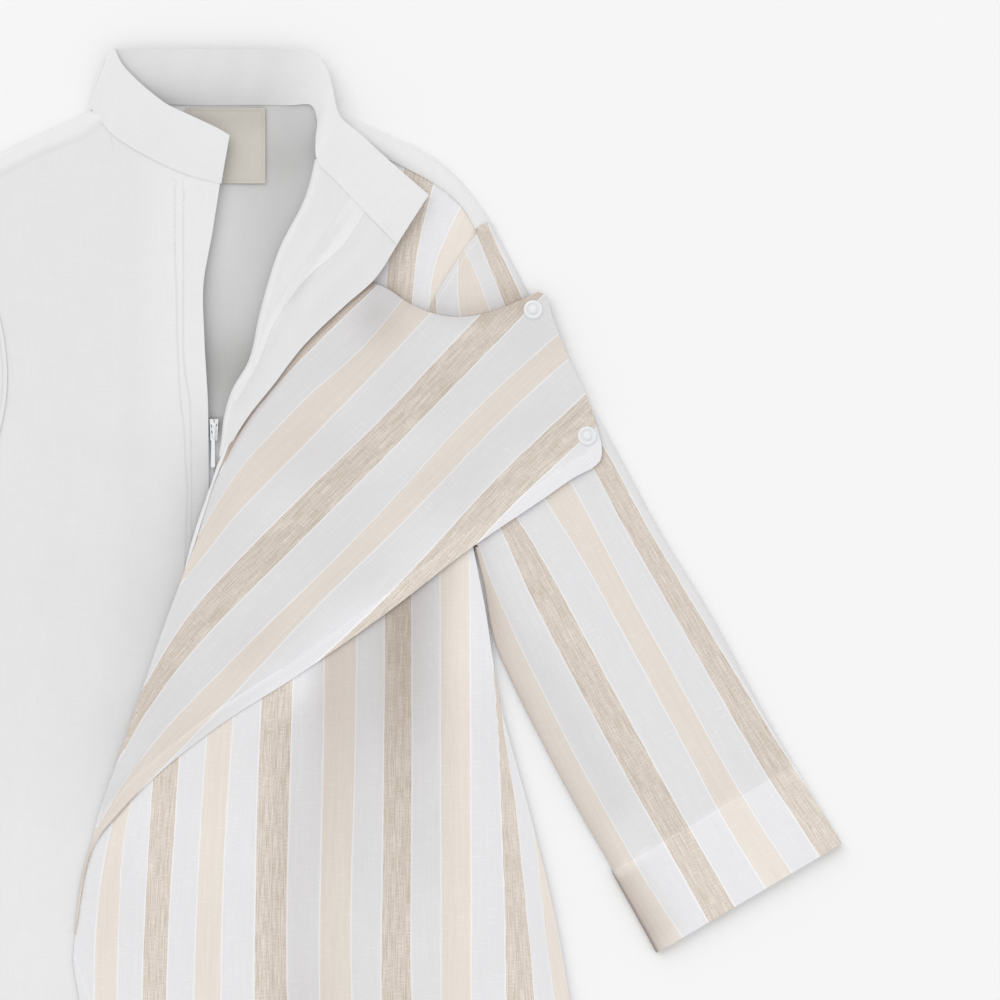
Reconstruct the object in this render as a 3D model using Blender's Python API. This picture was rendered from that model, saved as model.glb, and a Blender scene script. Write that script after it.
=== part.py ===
# A child's thobe robe laid flat on its back. The under-robe is white, with a stand collar and a front zip.
# A striped wrap front is sewn in the left side, armhole and shoulder. It is unsnapped and turned back on a
# diagonal fold, and the white left front edge is turned back over it with its end of the collar.
# The tables are in millimetres. X runs towards the wearer's left, Y towards the collar and Z up. The centre
# front lies on X = 0, and Y = 0 is half way down the robe.

import math
from collections import namedtuple

import bmesh
import bpy
from mathutils import Vector

MM = 0.001

WALL = 1.2  # cloth
GAP = 0.3  # air between pieces that touch
LAYER = WALL + GAP  # one cloth on another
COLLAR_WALL = 1.6  # two cloths with stiffening
LABEL_WALL = 1.0

# Heights of the middle of each cloth where it lies flat
BACK_LEVEL = WALL / 2
INNER_LEVEL = BACK_LEVEL + LAYER
OUTER_LEVEL = INNER_LEVEL + LAYER
FLAP_LEVEL = OUTER_LEVEL + LAYER

SHOULDER_TURN = (OUTER_LEVEL - BACK_LEVEL) / 2  # radius of the roll over the shoulder
TURN_GAP = GAP + 0.15  # its first face leans towards the back panel
WRAP_TURN = 1.2  # radius of the wrap's diagonal fold
FLAP_REST = 18.0  # the flap settles this far from its fold
LAPEL_LEVEL = OUTER_LEVEL + 2 * WRAP_TURN + LAYER
LAPEL_TURN = (LAPEL_LEVEL - INNER_LEVEL) / 2

SHARP_DEGREES = 40
WELD = 1e-6  # metres
ARC_STEPS = 6
SPLINE_STEPS = 12
ACROSS_BODY = 10  # columns of a front panel
ARMHOLE_ROWS = 8
SIDE_ROWS = 12
SIDE_UPPER_ROWS = 8  # of those, the rows down to where the wrap's fold ends
SLEEVE_ROWS = 14
SLEEVE_COLUMNS = 5  # they end part way down the armhole
SLEEVE_ARC_STEPS = 4

HEM_Y = -450.0
FOLD_END_Y = -92.0  # the wrap's fold runs out into its free edge here
ZIP_X = -0.45  # middle of the chain
ZIP_BOTTOM_Y = 60.0
SLIDER_Y = (215.5, 228.5)
TAPE_BOTTOM_Y = 238.0

Point = namedtuple("Point", "x y")
Side = namedtuple("Side", "y half_width")
Fold = namedtuple("Fold", "x y turn")
CollarStation = namedtuple("CollarStation", "seam_x seam_y seam_z free_x free_y free_z")
SleeveEdge = namedtuple("SleeveEdge", "outer_x outer_y inner_x inner_y")
TapeEdge = namedtuple("TapeEdge", "inner_x inner_y outer_x outer_y")
Ridge = namedtuple("Ridge", "x top_y bottom_y lean height half_width")

# Side seam, from the armpit down to the hem
SIDE_TABLE = [
    Side(152.0, 155.4),
    Side(117.0, 162.4),
    Side(62.0, 171.0),
    Side(0.0, 187.5),
    Side(-60.0, 202.5),
    Side(-120.0, 213.5),
    Side(-230.0, 229.0),
    Side(-340.0, 241.0),
    Side(-438.0, 249.0),
]

# Armhole, from the shoulder tip to the armpit
ARMHOLE_TABLE = [
    Point(160.8, 354.0),
    Point(156.0, 336.0),
    Point(142.8, 316.8),
    Point(132.0, 298.2),
    Point(126.0, 273.0),
    Point(124.8, 246.0),
    Point(129.6, 219.0),
    Point(139.2, 192.0),
    Point(155.4, 152.0),
]

# Top of the shoulder as it lies, and the seam in front of it, from the neck to the tip
SHOULDER_TABLE = [Point(74.4, 412.8), Point(96.6, 402.0), Point(137.4, 380.4), Point(160.8, 354.0)]
SHOULDER_SEAM_TABLE = [Point(74.0, 397.5), Point(117.6, 378.0), Point(147.6, 357.0), Point(157.4, 344.6)]

BACK_NECK_Y = 415.8
HEM_TABLE = [Point(249.0, -438.0), Point(170.0, -446.0), Point(80.0, HEM_Y + 0.5), Point(0.0, HEM_Y)]

# Right front: the neckline from the shoulder to the front edge, and the placket edge down to the zip's end
RIGHT_NECK_TABLE = [Point(-71.0, 411.0), Point(-49.8, 397.4), Point(-27.0, 375.8), Point(4.0, 368.6)]
PLACKET_TABLE = [
    Point(4.0, 368.6),
    Point(-0.6, 340.0),
    Point(-6.0, 308.0),
    Point(-5.4, 278.0),
    Point(-3.2, 236.0),
    Point(-3.0, 205.0),
    Point(-3.0, ZIP_BOTTOM_Y),
]

# Left front edge: the roll line of the lapel from the neck down, then the centre front
ROLL_TABLE = [
    Fold(59.4, 381.0, 1.0),
    Fold(55.8, 364.0, 1.0),
    Fold(39.6, 330.0, 1.0),
    Fold(28.0, 292.0, 1.0),
    Fold(20.8, 262.0, 1.0),
    Fold(11.0, 245.0, 1.0),
    Fold(5.6, 230.0, 1.0),
    Fold(4.6, 216.0, 1.0),
    Fold(3.2, 206.0, 1.0),
]
ROLL_END = [Fold(2.9, 202.5, 0.45), Fold(2.7, 199.0, 0.0)]
LAPEL_EDGE_TABLE = [
    Point(109.2, 331.8),
    Point(96.0, 311.4),
    Point(80.4, 297.6),
    Point(52.8, 271.2),
    Point(34.8, 249.0),
    Point(21.0, 231.0),
    Point(12.0, 217.2),
    Point(6.0, 206.0),
]

# Wrap front: the diagonal fold from the neck down, its free edge below it, and the outline of the flap
WRAP_NECK_TABLE = [SHOULDER_SEAM_TABLE[0], Point(75.5, 366.0), Point(82.0, 336.0), Point(90.0, 313.0)]
WRAP_FOLD_TABLE = [
    Point(90.0, 313.0),
    Point(75.0, 297.6),
    Point(49.0, 272.0),
    Point(32.0, 249.0),
    Point(20.0, 231.0),
    Point(10.6, 216.0),
    Point(4.4, 202.0),
    Point(-3.6, 184.0),
    Point(-13.8, 150.0),
    Point(-33.6, 96.0),
    Point(-56.4, 25.8),
    Point(-75.6, -36.0),
    Point(-82.0, -66.0),
]
WRAP_FREE_TABLE = [
    Point(-84.4, FOLD_END_Y),
    Point(-80.4, -120.0),
    Point(-71.0, -285.0),
    Point(-61.0, HEM_Y + 0.2),
]
FLAP_NECK_TABLE = [
    Point(105.0, 306.0),
    Point(116.4, 298.2),
    Point(142.2, 289.8),
    Point(159.6, 291.0),
    Point(184.2, 300.0),
    Point(196.2, 305.4),
]
FLAP_SHOULDER_TABLE = [
    Point(196.2, 305.4),
    Point(203.4, 288.6),
    Point(213.0, 264.0),
    Point(223.2, 243.0),
    Point(230.0, 222.0),
    Point(232.6, 205.0),
]
FLAP_FREE_TABLE = [
    Point(232.6, 205.0),
    Point(224.0, 196.6),
    Point(198.6, 181.8),
    Point(156.6, 153.0),
    Point(102.6, 111.6),
    Point(48.6, 73.8),
    Point(3.6, 45.0),
    Point(-38.4, 13.2),
    Point(-60.0, -14.0),
    Point(-73.2, -42.0),
]

# The collar band: its seam edge and its free edge, from the turned-back left end round the neck to the fold
COLLAR_TABLE = [
    CollarStation(110.0, 332.8, 7.5, 129.0, 362.4, 6.3),
    CollarStation(85.8, 357.8, 7.5, 102.0, 386.0, 6.4),
    CollarStation(73.6, 370.8, 7.5, 88.4, 398.6, 6.6),
    CollarStation(62.4, 382.8, 7.3, 76.0, 409.6, 6.8),
    CollarStation(61.6, 396.0, 6.0, 71.6, 426.0, 7.0),
    CollarStation(63.0, 408.0, 3.8, 68.0, 438.6, 6.4),
    CollarStation(61.0, 417.0, 2.0, 61.6, 446.6, 5.4),
    CollarStation(46.0, 416.8, 1.2, 46.4, 449.0, 4.6),
    CollarStation(0.0, 416.8, 1.1, 0.0, 450.0, 4.2),
    CollarStation(-50.0, 416.8, 1.1, -44.0, 450.0, 3.8),
    CollarStation(-69.0, 416.8, 1.1, -58.0, 450.0, 3.4),
]
COLLAR_FRONT_TABLE = [
    CollarStation(-69.0, 416.6, 4.0, -58.0, 450.0, 7.0),
    CollarStation(-49.6, 398.2, 4.0, -40.0, 426.0, 7.2),
    CollarStation(-26.6, 376.6, 4.0, -16.2, 409.8, 7.2),
    CollarStation(4.2, 369.2, 3.9, 9.6, 400.8, 6.6),
]
COLLAR_FOLD_REACH = 3.4  # how far the band's fold stands out past its last stations

# Sleeve edges from the armhole to the cuff
SLEEVE_TABLE = [
    SleeveEdge(161.3, 353.5, 156.8, 151.8),
    SleeveEdge(187.2, 305.4, 161.6, 133.0),
    SleeveEdge(214.2, 258.0, 169.4, 93.0),
    SleeveEdge(240.6, 210.0, 178.0, 73.0),
    SleeveEdge(266.0, 162.6, 198.0, 33.0),
    SleeveEdge(295.0, 115.0, 216.0, -1.0),
    SleeveEdge(335.0, 42.0, 241.5, -45.0),
    SleeveEdge(376.2, -25.8, 267.6, -90.0),
]
SLEEVE_RISE = 1.6  # extra fullness towards the cuff
SLEEVE_RISE_START = 0.38  # shares of the sleeve's length
SLEEVE_RISE_SPAN = 0.4

LABEL_BOX = (-16.8, 369.8, 30.9, 415.2)

# The zip's half on the lapel: its inner and outer edges from the collar down to the slider
TAPE_TABLE = [
    TapeEdge(78.6, 356.0, 88.0, 347.0),
    TapeEdge(64.0, 333.0, 78.6, 333.0),
    TapeEdge(46.0, 309.0, 54.6, 311.0),
    TapeEdge(31.8, 284.0, 36.6, 285.0),
    TapeEdge(24.4, 261.0, 26.4, 260.0),
    TapeEdge(11.2, 239.4, 13.6, 238.0),
]
RIGHT_TAPE = (1.5, 12.0)  # from this far to this far inside the placket edge
RIGHT_TAPE_TOP_Y = 362.0
CHAIN_WIDTH = 3.9

# The slider's plate, its bridge, and the pull whose bar turns under the bridge
SLIDER_X = 0.2
SLIDER_WIDTH = 5.4
SLIDER_TAPER = 0.8
SLIDER_BOTTOM = BACK_LEVEL + WALL / 2 + GAP + WALL + GAP
SLIDER_TOP = SLIDER_BOTTOM + 2.2
BRIDGE_LENGTH = 7.0
BRIDGE_WIDTH = 1.4
BRIDGE_WALL = 0.8
BRIDGE_GAP = 1.5
BRIDGE_SINK = 0.5  # into the plate
BAR_Y = 219.0
BAR_Z = SLIDER_TOP + BRIDGE_GAP / 2
BAR_RADIUS = 0.45
ARM_INNER = 1.2
ARM_OUTER = 2.1
TAB_WIDTH = 3.0
TAB_FLARE = 1.15
TAB_THICKNESS = 1.0
TAB_TOP_Y = BAR_Y - 4.0
TAB_BOTTOM_Y = BAR_Y - 18.4

SNAP_CENTRES = {"snap_upper": Point(191.4, 294.0), "snap_lower": Point(223.8, 218.4)}
SnapRing = namedtuple("SnapRing", "radius height")
SNAP_PROFILE = [
    SnapRing(0.0, 0.0),
    SnapRing(5.6, 0.0),
    SnapRing(5.6, 1.2),
    SnapRing(5.0, 1.9),
    SnapRing(4.0, 1.9),
    SnapRing(3.5, 1.2),
    SnapRing(2.3, 1.2),
    SnapRing(2.1, 2.0),
    SnapRing(1.4, 2.4),
    SnapRing(0.0, 2.4),
]

# Soft ridges that run down the skirt: the cloth stands up along each
RIGHT_FRONT_RIDGES = [
    Ridge(-112.0, 330.0, -330.0, -0.05, 1.6, 17.0),
    Ridge(-150.0, 90.0, -430.0, -0.12, 2.0, 20.0),
    Ridge(-190.0, -160.0, -440.0, -0.10, 2.2, 18.0),
]
WRAP_RIDGES = [
    Ridge(40.0, -60.0, -440.0, 0.05, 1.6, 16.0),
    Ridge(110.0, -10.0, -440.0, 0.10, 2.0, 18.0),
    Ridge(176.0, -120.0, -440.0, 0.12, 1.8, 16.0),
]


def spline(points, segments):
    """Evenly spaced positions on a smooth curve through the points."""
    knots = [Vector((*point[:3], 0.0)[:3]) for point in points]
    spans = [(b - a).length for a, b in zip(knots, knots[1:])]
    slopes = [(b - a) / span for a, b, span in zip(knots, knots[1:], spans)]
    tangents = [slopes[0]]
    for before, after, first, second in zip(slopes, slopes[1:], spans, spans[1:]):
        tangents.append((before * second + after * first) / (first + second))
    tangents.append(slopes[-1])
    fine = [knots[0]]
    for i, span in enumerate(spans):
        for step in range(1, SPLINE_STEPS + 1):
            t = step / SPLINE_STEPS
            fine.append(
                knots[i] * (2 * t**3 - 3 * t**2 + 1)
                + tangents[i] * span * (t**3 - 2 * t**2 + t)
                + knots[i + 1] * (3 * t**2 - 2 * t**3)
                + tangents[i + 1] * span * (t**3 - t**2)
            )
    return evenly(fine, segments)


def evenly(points, segments):
    """Positions at equal distances along a polyline, its ends included."""
    lengths = [0.0]
    for a, b in zip(points, points[1:]):
        lengths.append(lengths[-1] + (b - a).length)
    spaced = []
    i = 0
    for k in range(segments + 1):
        wanted = lengths[-1] * k / segments
        while i < len(points) - 2 and lengths[i + 1] < wanted:
            i += 1
        share = (wanted - lengths[i]) / (lengths[i + 1] - lengths[i])
        spaced.append(points[i].lerp(points[i + 1], min(share, 1.0)))
    return spaced


def mirrored(points):
    return [Vector((-point.x, point.y, point.z)) for point in points]


def sideways(points):
    """Unit vectors in XY at right angles to a curve, to the left of its direction."""
    found = []
    for i in range(len(points)):
        ahead = points[min(i + 1, len(points) - 1)] - points[max(i - 1, 0)]
        found.append(Vector((-ahead.y, ahead.x, 0.0)).normalized())
    return found


def smooth_step(value):
    value = min(max(value, 0.0), 1.0)
    return value * value * (3 - 2 * value)


def patch(bottom, top, left, right):
    """Rows of points that fill the space between four edges. Facing edges have equal counts of points."""
    rows = []
    for j in range(len(left)):
        v = j / (len(left) - 1)
        row = []
        for i in range(len(bottom)):
            u = i / (len(bottom) - 1)
            corners = bottom[0].lerp(bottom[-1], u).lerp(top[0].lerp(top[-1], u), v)
            row.append(left[j].lerp(right[j], u) + bottom[i].lerp(top[i], v) - corners)
        rows.append(row)
    return rows


def at_level(rows, level):
    """The rows lifted to a height, which is a number or a function of x and y."""
    height = level if callable(level) else lambda x, y: level
    return [[Vector((p.x, p.y, height(p.x, p.y))) for p in row] for row in rows]


def ridge_lift(ridges, x, y):
    """Extra height from the ridges at a place: a cosine bump across each, fading out at both of its ends."""
    lift = 0.0
    for ridge in ridges:
        middle = ridge.x + ridge.lean * (ridge.top_y - y)
        across = abs(x - middle) / ridge.half_width
        if across < 1.0:
            fade = smooth_step((ridge.top_y - y) / 70.0) * smooth_step((y - ridge.bottom_y) / 30.0)
            lift += ridge.height * fade * (0.5 + 0.5 * math.cos(math.pi * across))
    return lift


def turn_reach(turn):
    """How far a roll of unit radius stands out past its start, for a turn from 0 to 1 half circle."""
    return math.sin(min(math.pi * turn, math.pi / 2))


def roll_start(outline, inward, radius, turns):
    """Where a flat cloth ends and its roll begins, so that the roll's outermost line is the outline."""
    return [p + n * radius * turn_reach(turn) for p, n, turn in zip(outline, inward, turns)]


def roll(outline, inward, radius, turns, level):
    """Rows round a fold, one for each point of the outline, from the cloth below to the cloth above."""
    rows = []
    for point, normal, turn in zip(outline, inward, turns):
        row = []
        for k in range(ARC_STEPS + 1):
            angle = math.pi * turn * k / ARC_STEPS
            across = normal * radius * (turn_reach(turn) - math.sin(angle))
            row.append(Vector((point.x, point.y, level + radius * (1 - math.cos(angle)))) + across)
        rows.append(row)
    return rows


def new_material(name, colour, roughness):
    material = bpy.data.materials.new(name)
    material.use_nodes = True
    shader = material.node_tree.nodes["Principled BSDF"]
    shader.inputs["Base Color"].default_value = (*colour, 1.0)
    shader.inputs["Roughness"].default_value = roughness
    shader.inputs["Metallic"].default_value = 0.0
    return material


def new_object(name, mesh, material):
    data = bpy.data.meshes.new(name)
    mesh.to_mesh(data)
    mesh.free()
    data.materials.append(material)
    data.shade_smooth()
    data.set_sharp_from_angle(angle=math.radians(SHARP_DEGREES))
    piece = bpy.data.objects.new(name, data)
    bpy.context.scene.collection.objects.link(piece)
    return piece


def add_grid(mesh, rows):
    """Faces between rows of points."""
    verts = [[mesh.verts.new(point * MM) for point in row] for row in rows]
    for lower, upper in zip(verts, verts[1:]):
        for i in range(len(lower) - 1):
            mesh.faces.new((lower[i], lower[i + 1], upper[i + 1], upper[i]))


def cloth(name, grids, material, wall=WALL):
    """A cloth wall of even thickness, half of it on each side of the grids."""
    mesh = bmesh.new()
    for rows in grids:
        add_grid(mesh, rows)
    bmesh.ops.remove_doubles(mesh, verts=mesh.verts, dist=WELD)
    bmesh.ops.recalc_face_normals(mesh, faces=mesh.faces)
    piece = new_object(name, mesh, material)
    thick = piece.modifiers.new("Wall", "SOLIDIFY")
    thick.thickness = wall * MM
    thick.offset = 0.0
    return piece


def side_edge(sign):
    """The side seam from the armpit to the hem, with the same points on front and back."""
    table = [Point(row.half_width, row.y) for row in SIDE_TABLE]
    fine = spline(table, 240)
    upper = [p for p in fine if p.y >= FOLD_END_Y]
    lower = [upper[-1]] + [p for p in fine if p.y < FOLD_END_Y]
    edge = evenly(upper, SIDE_UPPER_ROWS) + evenly(lower, SIDE_ROWS - SIDE_UPPER_ROWS)[1:]
    return edge if sign > 0 else mirrored(edge)


def armhole_edge():
    """The tip of the shoulder, the end of the shoulder seam, and the rest of the armhole in even steps."""
    seam_end = Vector((*SHOULDER_SEAM_TABLE[-1], 0.0))
    below = [p for p in spline(ARMHOLE_TABLE, 200) if p.y < seam_end.y - 1.0]
    return [Vector((*ARMHOLE_TABLE[0], 0.0))] + evenly([seam_end] + below, ARMHOLE_ROWS)


def front_side(sign):
    """Armhole and side seam of a front panel, from the shoulder seam down."""
    armhole = armhole_edge()[1:]
    if sign < 0:
        armhole = mirrored(armhole)
    return armhole + side_edge(sign)[1:]


def hem_edge(start, segments):
    """The hem from a point on its left to the right-hand corner."""
    right = spline(HEM_TABLE, 200)
    whole = mirrored(right) + right[::-1]
    inside = [p for p in whole if p.x > start.x + 1.0]
    return evenly([start] + inside, segments)


def shoulder_outline():
    """The outermost line of a shoulder, its inward normals, and where the roll over it starts."""
    outline = spline(SHOULDER_TABLE, ACROSS_BODY)
    inward = [-n for n in sideways(outline)]
    start = roll_start(outline, inward, SHOULDER_TURN, [1.0] * len(outline))
    return outline, inward, start


def make_back(material):
    """Flat on the floor, from the neck and shoulders to the hem."""
    neck_segments = 6
    _, inward, turn_start = shoulder_outline()
    start = [p + n * TURN_GAP for p, n in zip(turn_start, inward)]
    neck_end = start[0]
    neck_ends = [Point(-neck_end.x, neck_end.y), Point(0.0, BACK_NECK_Y), Point(neck_end.x, neck_end.y)]
    neck = spline(neck_ends, neck_segments)
    top = mirrored(start[::-1]) + neck[1:-1] + start
    right = [start[-1]] + armhole_edge()[1:] + side_edge(1)[1:]
    left = mirrored(right)
    hem = hem_edge(left[-1], len(top) - 1)
    rows = patch(hem, top, left[::-1], right[::-1])
    return cloth("back_panel", [at_level(rows, BACK_LEVEL)], material)


def make_shoulder_turn(name, sign, material):
    """The back's upper edge, which rolls over the shoulder to the seam in front of it. It is a solid of its
    own, so that collision stays open between the shoulders."""
    outline, inward, _ = shoulder_outline()
    rows = roll(outline, inward, SHOULDER_TURN, [1.0] * len(outline), BACK_LEVEL)
    seam = spline(SHOULDER_SEAM_TABLE, ACROSS_BODY)
    for row, end, out in zip(rows, seam, sideways(seam)):
        row.append(Vector((end.x, end.y, OUTER_LEVEL)) + out * GAP)
    if sign < 0:
        rows = [mirrored(row) for row in rows]
    return cloth(name, [rows], material)


def right_front_level(x, y):
    """The right front lies on the back below the wrap, and lifts at the armhole and over the zip tape."""
    over_tape = smooth_step((y - 195.0) / 30.0)
    at_armhole = smooth_step((-x - 60.0) / 45.0) * smooth_step((y - 105.0) / 47.0)
    lift = (OUTER_LEVEL - INNER_LEVEL) * max(over_tape, at_armhole)
    return INNER_LEVEL + lift + ridge_lift(RIGHT_FRONT_RIDGES, x, y)


def make_right_front(material):
    neck_segments = 7
    shoulder = mirrored(spline(SHOULDER_SEAM_TABLE, ACROSS_BODY))
    neck = spline(RIGHT_NECK_TABLE, neck_segments)
    top = shoulder[::-1] + neck
    left = front_side(-1)
    placket = spline(PLACKET_TABLE, ARMHOLE_ROWS + 2)
    centre_top = Vector((-GAP / 2, ZIP_BOTTOM_Y - 8.0, 0.0))
    centre_bottom = Vector((-GAP / 2, HEM_Y, 0.0))
    centre = evenly([centre_top, centre_bottom], len(left) - len(placket) - 1)
    right = placket + centre
    hem = hem_edge(left[-1], 400)
    hem = evenly([p for p in hem if p.x < -1.0] + [centre_bottom], len(top) - 1)
    rows = patch(hem, top, left[::-1], right[::-1])
    return cloth("right_front", [at_level(rows, right_front_level)], material)


def make_left_front(material):
    """Below the wrap it lies flat. Its upper edge rolls over, and the lapel lies on the wrap's fold."""
    roll_rows = 6
    outline = spline(ROLL_TABLE, roll_rows) + [Vector((row.x, row.y, 0.0)) for row in ROLL_END]
    turns = [1.0] * (roll_rows + 1) + [row.turn for row in ROLL_END]
    outline = [Vector((p.x, p.y, 0.0)) for p in outline]
    inward = sideways(outline)
    start = roll_start(outline, inward, LAPEL_TURN, turns)
    right = front_side(1)
    centre = evenly([outline[-1], Vector((2.7, ZIP_BOTTOM_Y, 0.0))], 3)[1:]
    below = Vector((GAP / 2, ZIP_BOTTOM_Y - 8.0, 0.0))
    last = Vector((GAP / 2, HEM_Y, 0.0))
    neck = Vector((*SHOULDER_SEAM_TABLE[0], 0.0))
    left = [neck] + start + centre
    left = left + evenly([below, last], len(right) - len(left) - 1)
    top = spline(SHOULDER_SEAM_TABLE, ACROSS_BODY)
    hem = hem_edge(last, ACROSS_BODY)
    rows = patch(hem, top, left[::-1], right[::-1])
    base = at_level(rows, INNER_LEVEL)
    rolls = roll(outline, inward, LAPEL_TURN, turns, INNER_LEVEL)
    lapel_columns = 5
    lapel_left = start[: roll_rows + 1][::-1]
    edge = spline(LAPEL_EDGE_TABLE, roll_rows)[::-1]
    edge[0] = lapel_left[0]
    tip = [lapel_left[0]] * (lapel_columns + 1)
    top_edge = evenly([lapel_left[-1], edge[-1]], lapel_columns)
    lapel = at_level(patch(tip, top_edge, lapel_left, edge), LAPEL_LEVEL)
    return cloth("left_front", [base, rolls, lapel], material)


def wrap_level(x, y):
    return OUTER_LEVEL + ridge_lift(WRAP_RIDGES, x, y)


def make_wrap(material):
    """The base lies on both fronts. The fold turns its upper part back over the base and the left sleeve."""
    fold_rows = 11
    neck_rows = 3
    end_y = WRAP_FOLD_TABLE[-1].y
    middle = Vector(((WRAP_FOLD_TABLE[-1].x + WRAP_FREE_TABLE[0].x) / 2, (end_y + FOLD_END_Y) / 2, 0.0))
    fold_end = Vector((*WRAP_FREE_TABLE[0], 0.0))
    outline = spline(WRAP_FOLD_TABLE, fold_rows) + [middle, fold_end]
    turns = [1.0] * (fold_rows + 1) + [0.4, 0.0]
    inward = sideways(outline)
    start = roll_start(outline, inward, WRAP_TURN, turns)
    neck = spline([*WRAP_NECK_TABLE[:-1], start[0].xy], neck_rows)
    right = front_side(1)
    free = spline(WRAP_FREE_TABLE, len(right) - neck_rows - len(start))
    left = neck[:-1] + start + free[1:]
    top = spline(SHOULDER_SEAM_TABLE, ACROSS_BODY)
    hem = hem_edge(free[-1], ACROSS_BODY)
    base = at_level(patch(hem, top, left[::-1], right[::-1]), wrap_level)
    rolls = roll(outline, inward, WRAP_TURN, turns, OUTER_LEVEL)
    flap_left = start[: fold_rows + 1][::-1]
    neck_edge = spline([start[0].xy, *FLAP_NECK_TABLE], 9)
    shoulder_edge = spline(FLAP_SHOULDER_TABLE, 5)
    flap_top = neck_edge + shoulder_edge[1:]
    flap_edge = spline([*FLAP_FREE_TABLE, flap_left[0].xy], fold_rows)[::-1]
    flap_edge[0] = flap_left[0]
    tip = [flap_left[0]] * len(flap_top)
    flap = patch(tip, flap_top, flap_left, flap_edge)
    fold_top = OUTER_LEVEL + 2 * WRAP_TURN
    settled = []
    for row in flap:
        fades = [math.exp(-(p - row[0]).length / FLAP_REST) for p in row]
        heights = [FLAP_LEVEL + (fold_top - FLAP_LEVEL) * fade for fade in fades]
        settled.append([Vector((p.x, p.y, z)) for p, z in zip(row, heights)])
    return cloth("left_wrap_front", [base, rolls, settled], material)


def make_collar(material):
    """One band: its turned-back left end, the back of the neck, a fold, and the right front end."""

    def stations(table, segments):
        seams = spline([(row.seam_x, row.seam_y, row.seam_z) for row in table], segments)
        frees = spline([(row.free_x, row.free_y, row.free_z) for row in table], segments)
        return [(seam, free) for seam, free in zip(seams, frees)]

    band = stations(COLLAR_TABLE, 20)
    front = stations(COLLAR_FRONT_TABLE, 8)
    low_seam, low_free = band[-1]
    high_seam, high_free = front[0]
    for k in range(1, ARC_STEPS):
        angle = math.pi * k / ARC_STEPS
        rise = (1 - math.cos(angle)) / 2
        out = Vector((-COLLAR_FOLD_REACH * math.sin(angle), 0.0, 0.0))
        band.append((low_seam.lerp(high_seam, rise) + out, low_free.lerp(high_free, rise) + out))
    band += front
    across = 4
    rows = [[seam.lerp(free, i / across) for i in range(across + 1)] for seam, free in band]
    return cloth("collar_band", [rows], material, wall=COLLAR_WALL)


def make_sleeve(name, sign, material):
    """A flattened tube, open along the armhole. Its edge towards the body is round below the armpit."""
    radius = SHOULDER_TURN
    cloth_edge = armhole_edge()
    armhole = [p + n * (GAP + 0.1) for p, n in zip(cloth_edge, sideways(cloth_edge))]
    upper = armhole[: SLEEVE_COLUMNS + 1]
    lower = armhole[SLEEVE_COLUMNS:-1]
    outer = spline([(row.outer_x, row.outer_y) for row in SLEEVE_TABLE], SLEEVE_ROWS)
    inner = spline([(row.inner_x, row.inner_y) for row in SLEEVE_TABLE], SLEEVE_ROWS - len(lower))
    outer_start = [p - n * radius for p, n in zip(outer, sideways(outer))]
    inner_start = [p + n * radius for p, n in zip(inner, sideways(inner))]
    upper[0] = outer_start[0]
    cuff = evenly([outer_start[-1], inner_start[-1]], SLEEVE_COLUMNS)
    lines = patch(upper, cuff, outer_start, lower + inner_start)
    around = []
    armpit_side = []
    for j, line in enumerate(lines):
        fullness = smooth_step((j / SLEEVE_ROWS - SLEEVE_RISE_START) / SLEEVE_RISE_SPAN)
        high = OUTER_LEVEL + SLEEVE_RISE * fullness
        below = [Vector((p.x, p.y, BACK_LEVEL)) for p in line[::-1]]
        above = [Vector((p.x, p.y, high)) for p in line]
        around.append(below + round_edge(line[0], outer[j], BACK_LEVEL, high) + above)
        if j >= len(lower):
            side = round_edge(line[-1], inner[j - len(lower)], BACK_LEVEL, high)
            armpit_side.append([below[0]] + side + [above[-1]])
    grids = [around, armpit_side]
    if sign < 0:
        grids = [[mirrored(row) for row in rows] for rows in grids]
    return cloth(name, grids, material)


def round_edge(start, outline, low, high):
    """The points between two levels on a half circle that starts at one place and bulges out to another."""
    arc = []
    for k in range(1, SLEEVE_ARC_STEPS):
        angle = math.pi * k / SLEEVE_ARC_STEPS
        spot = start + (outline - start) * math.sin(angle)
        arc.append(Vector((spot.x, spot.y, (low + high) / 2 - (high - low) / 2 * math.cos(angle))))
    return arc


def make_label(material):
    x0, y0, x1, y1 = LABEL_BOX
    level = BACK_LEVEL + WALL / 2 + GAP + LABEL_WALL / 2
    rows = [[Vector((x0, y, level)), Vector((x1, y, level))] for y in (y0, y1)]
    return cloth("neck_label", [rows], material, wall=LABEL_WALL)


def make_tapes(material):
    """The zip's half under the placket edge, its half on the lapel, and the closed chain between them."""
    placket = [p for p in spline(PLACKET_TABLE, 200) if TAPE_BOTTOM_Y < p.y < RIGHT_TAPE_TOP_Y]
    near, far = RIGHT_TAPE
    edge = evenly(placket, 8)
    tape = [[p - Vector((far, 0, 0)), p - Vector((near, 0, 0))] for p in edge]
    cloth("zip_tape_right", [at_level(tape, INNER_LEVEL)], material)
    inner = spline([(row.inner_x, row.inner_y) for row in TAPE_TABLE], 12)
    outer = spline([(row.outer_x, row.outer_y) for row in TAPE_TABLE], 12)
    tape = at_level([[a, b] for a, b in zip(inner, outer)], LAPEL_LEVEL + LAYER)
    cloth("zip_tape_left", [tape], material)
    half = CHAIN_WIDTH / 2
    ends = (ZIP_BOTTOM_Y, (SLIDER_Y[0] + SLIDER_Y[1]) / 2)
    rows = [[Vector((ZIP_X + side, y, INNER_LEVEL)) for side in (-half, half)] for y in ends]
    cloth("zip_chain", [rows], material)


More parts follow.
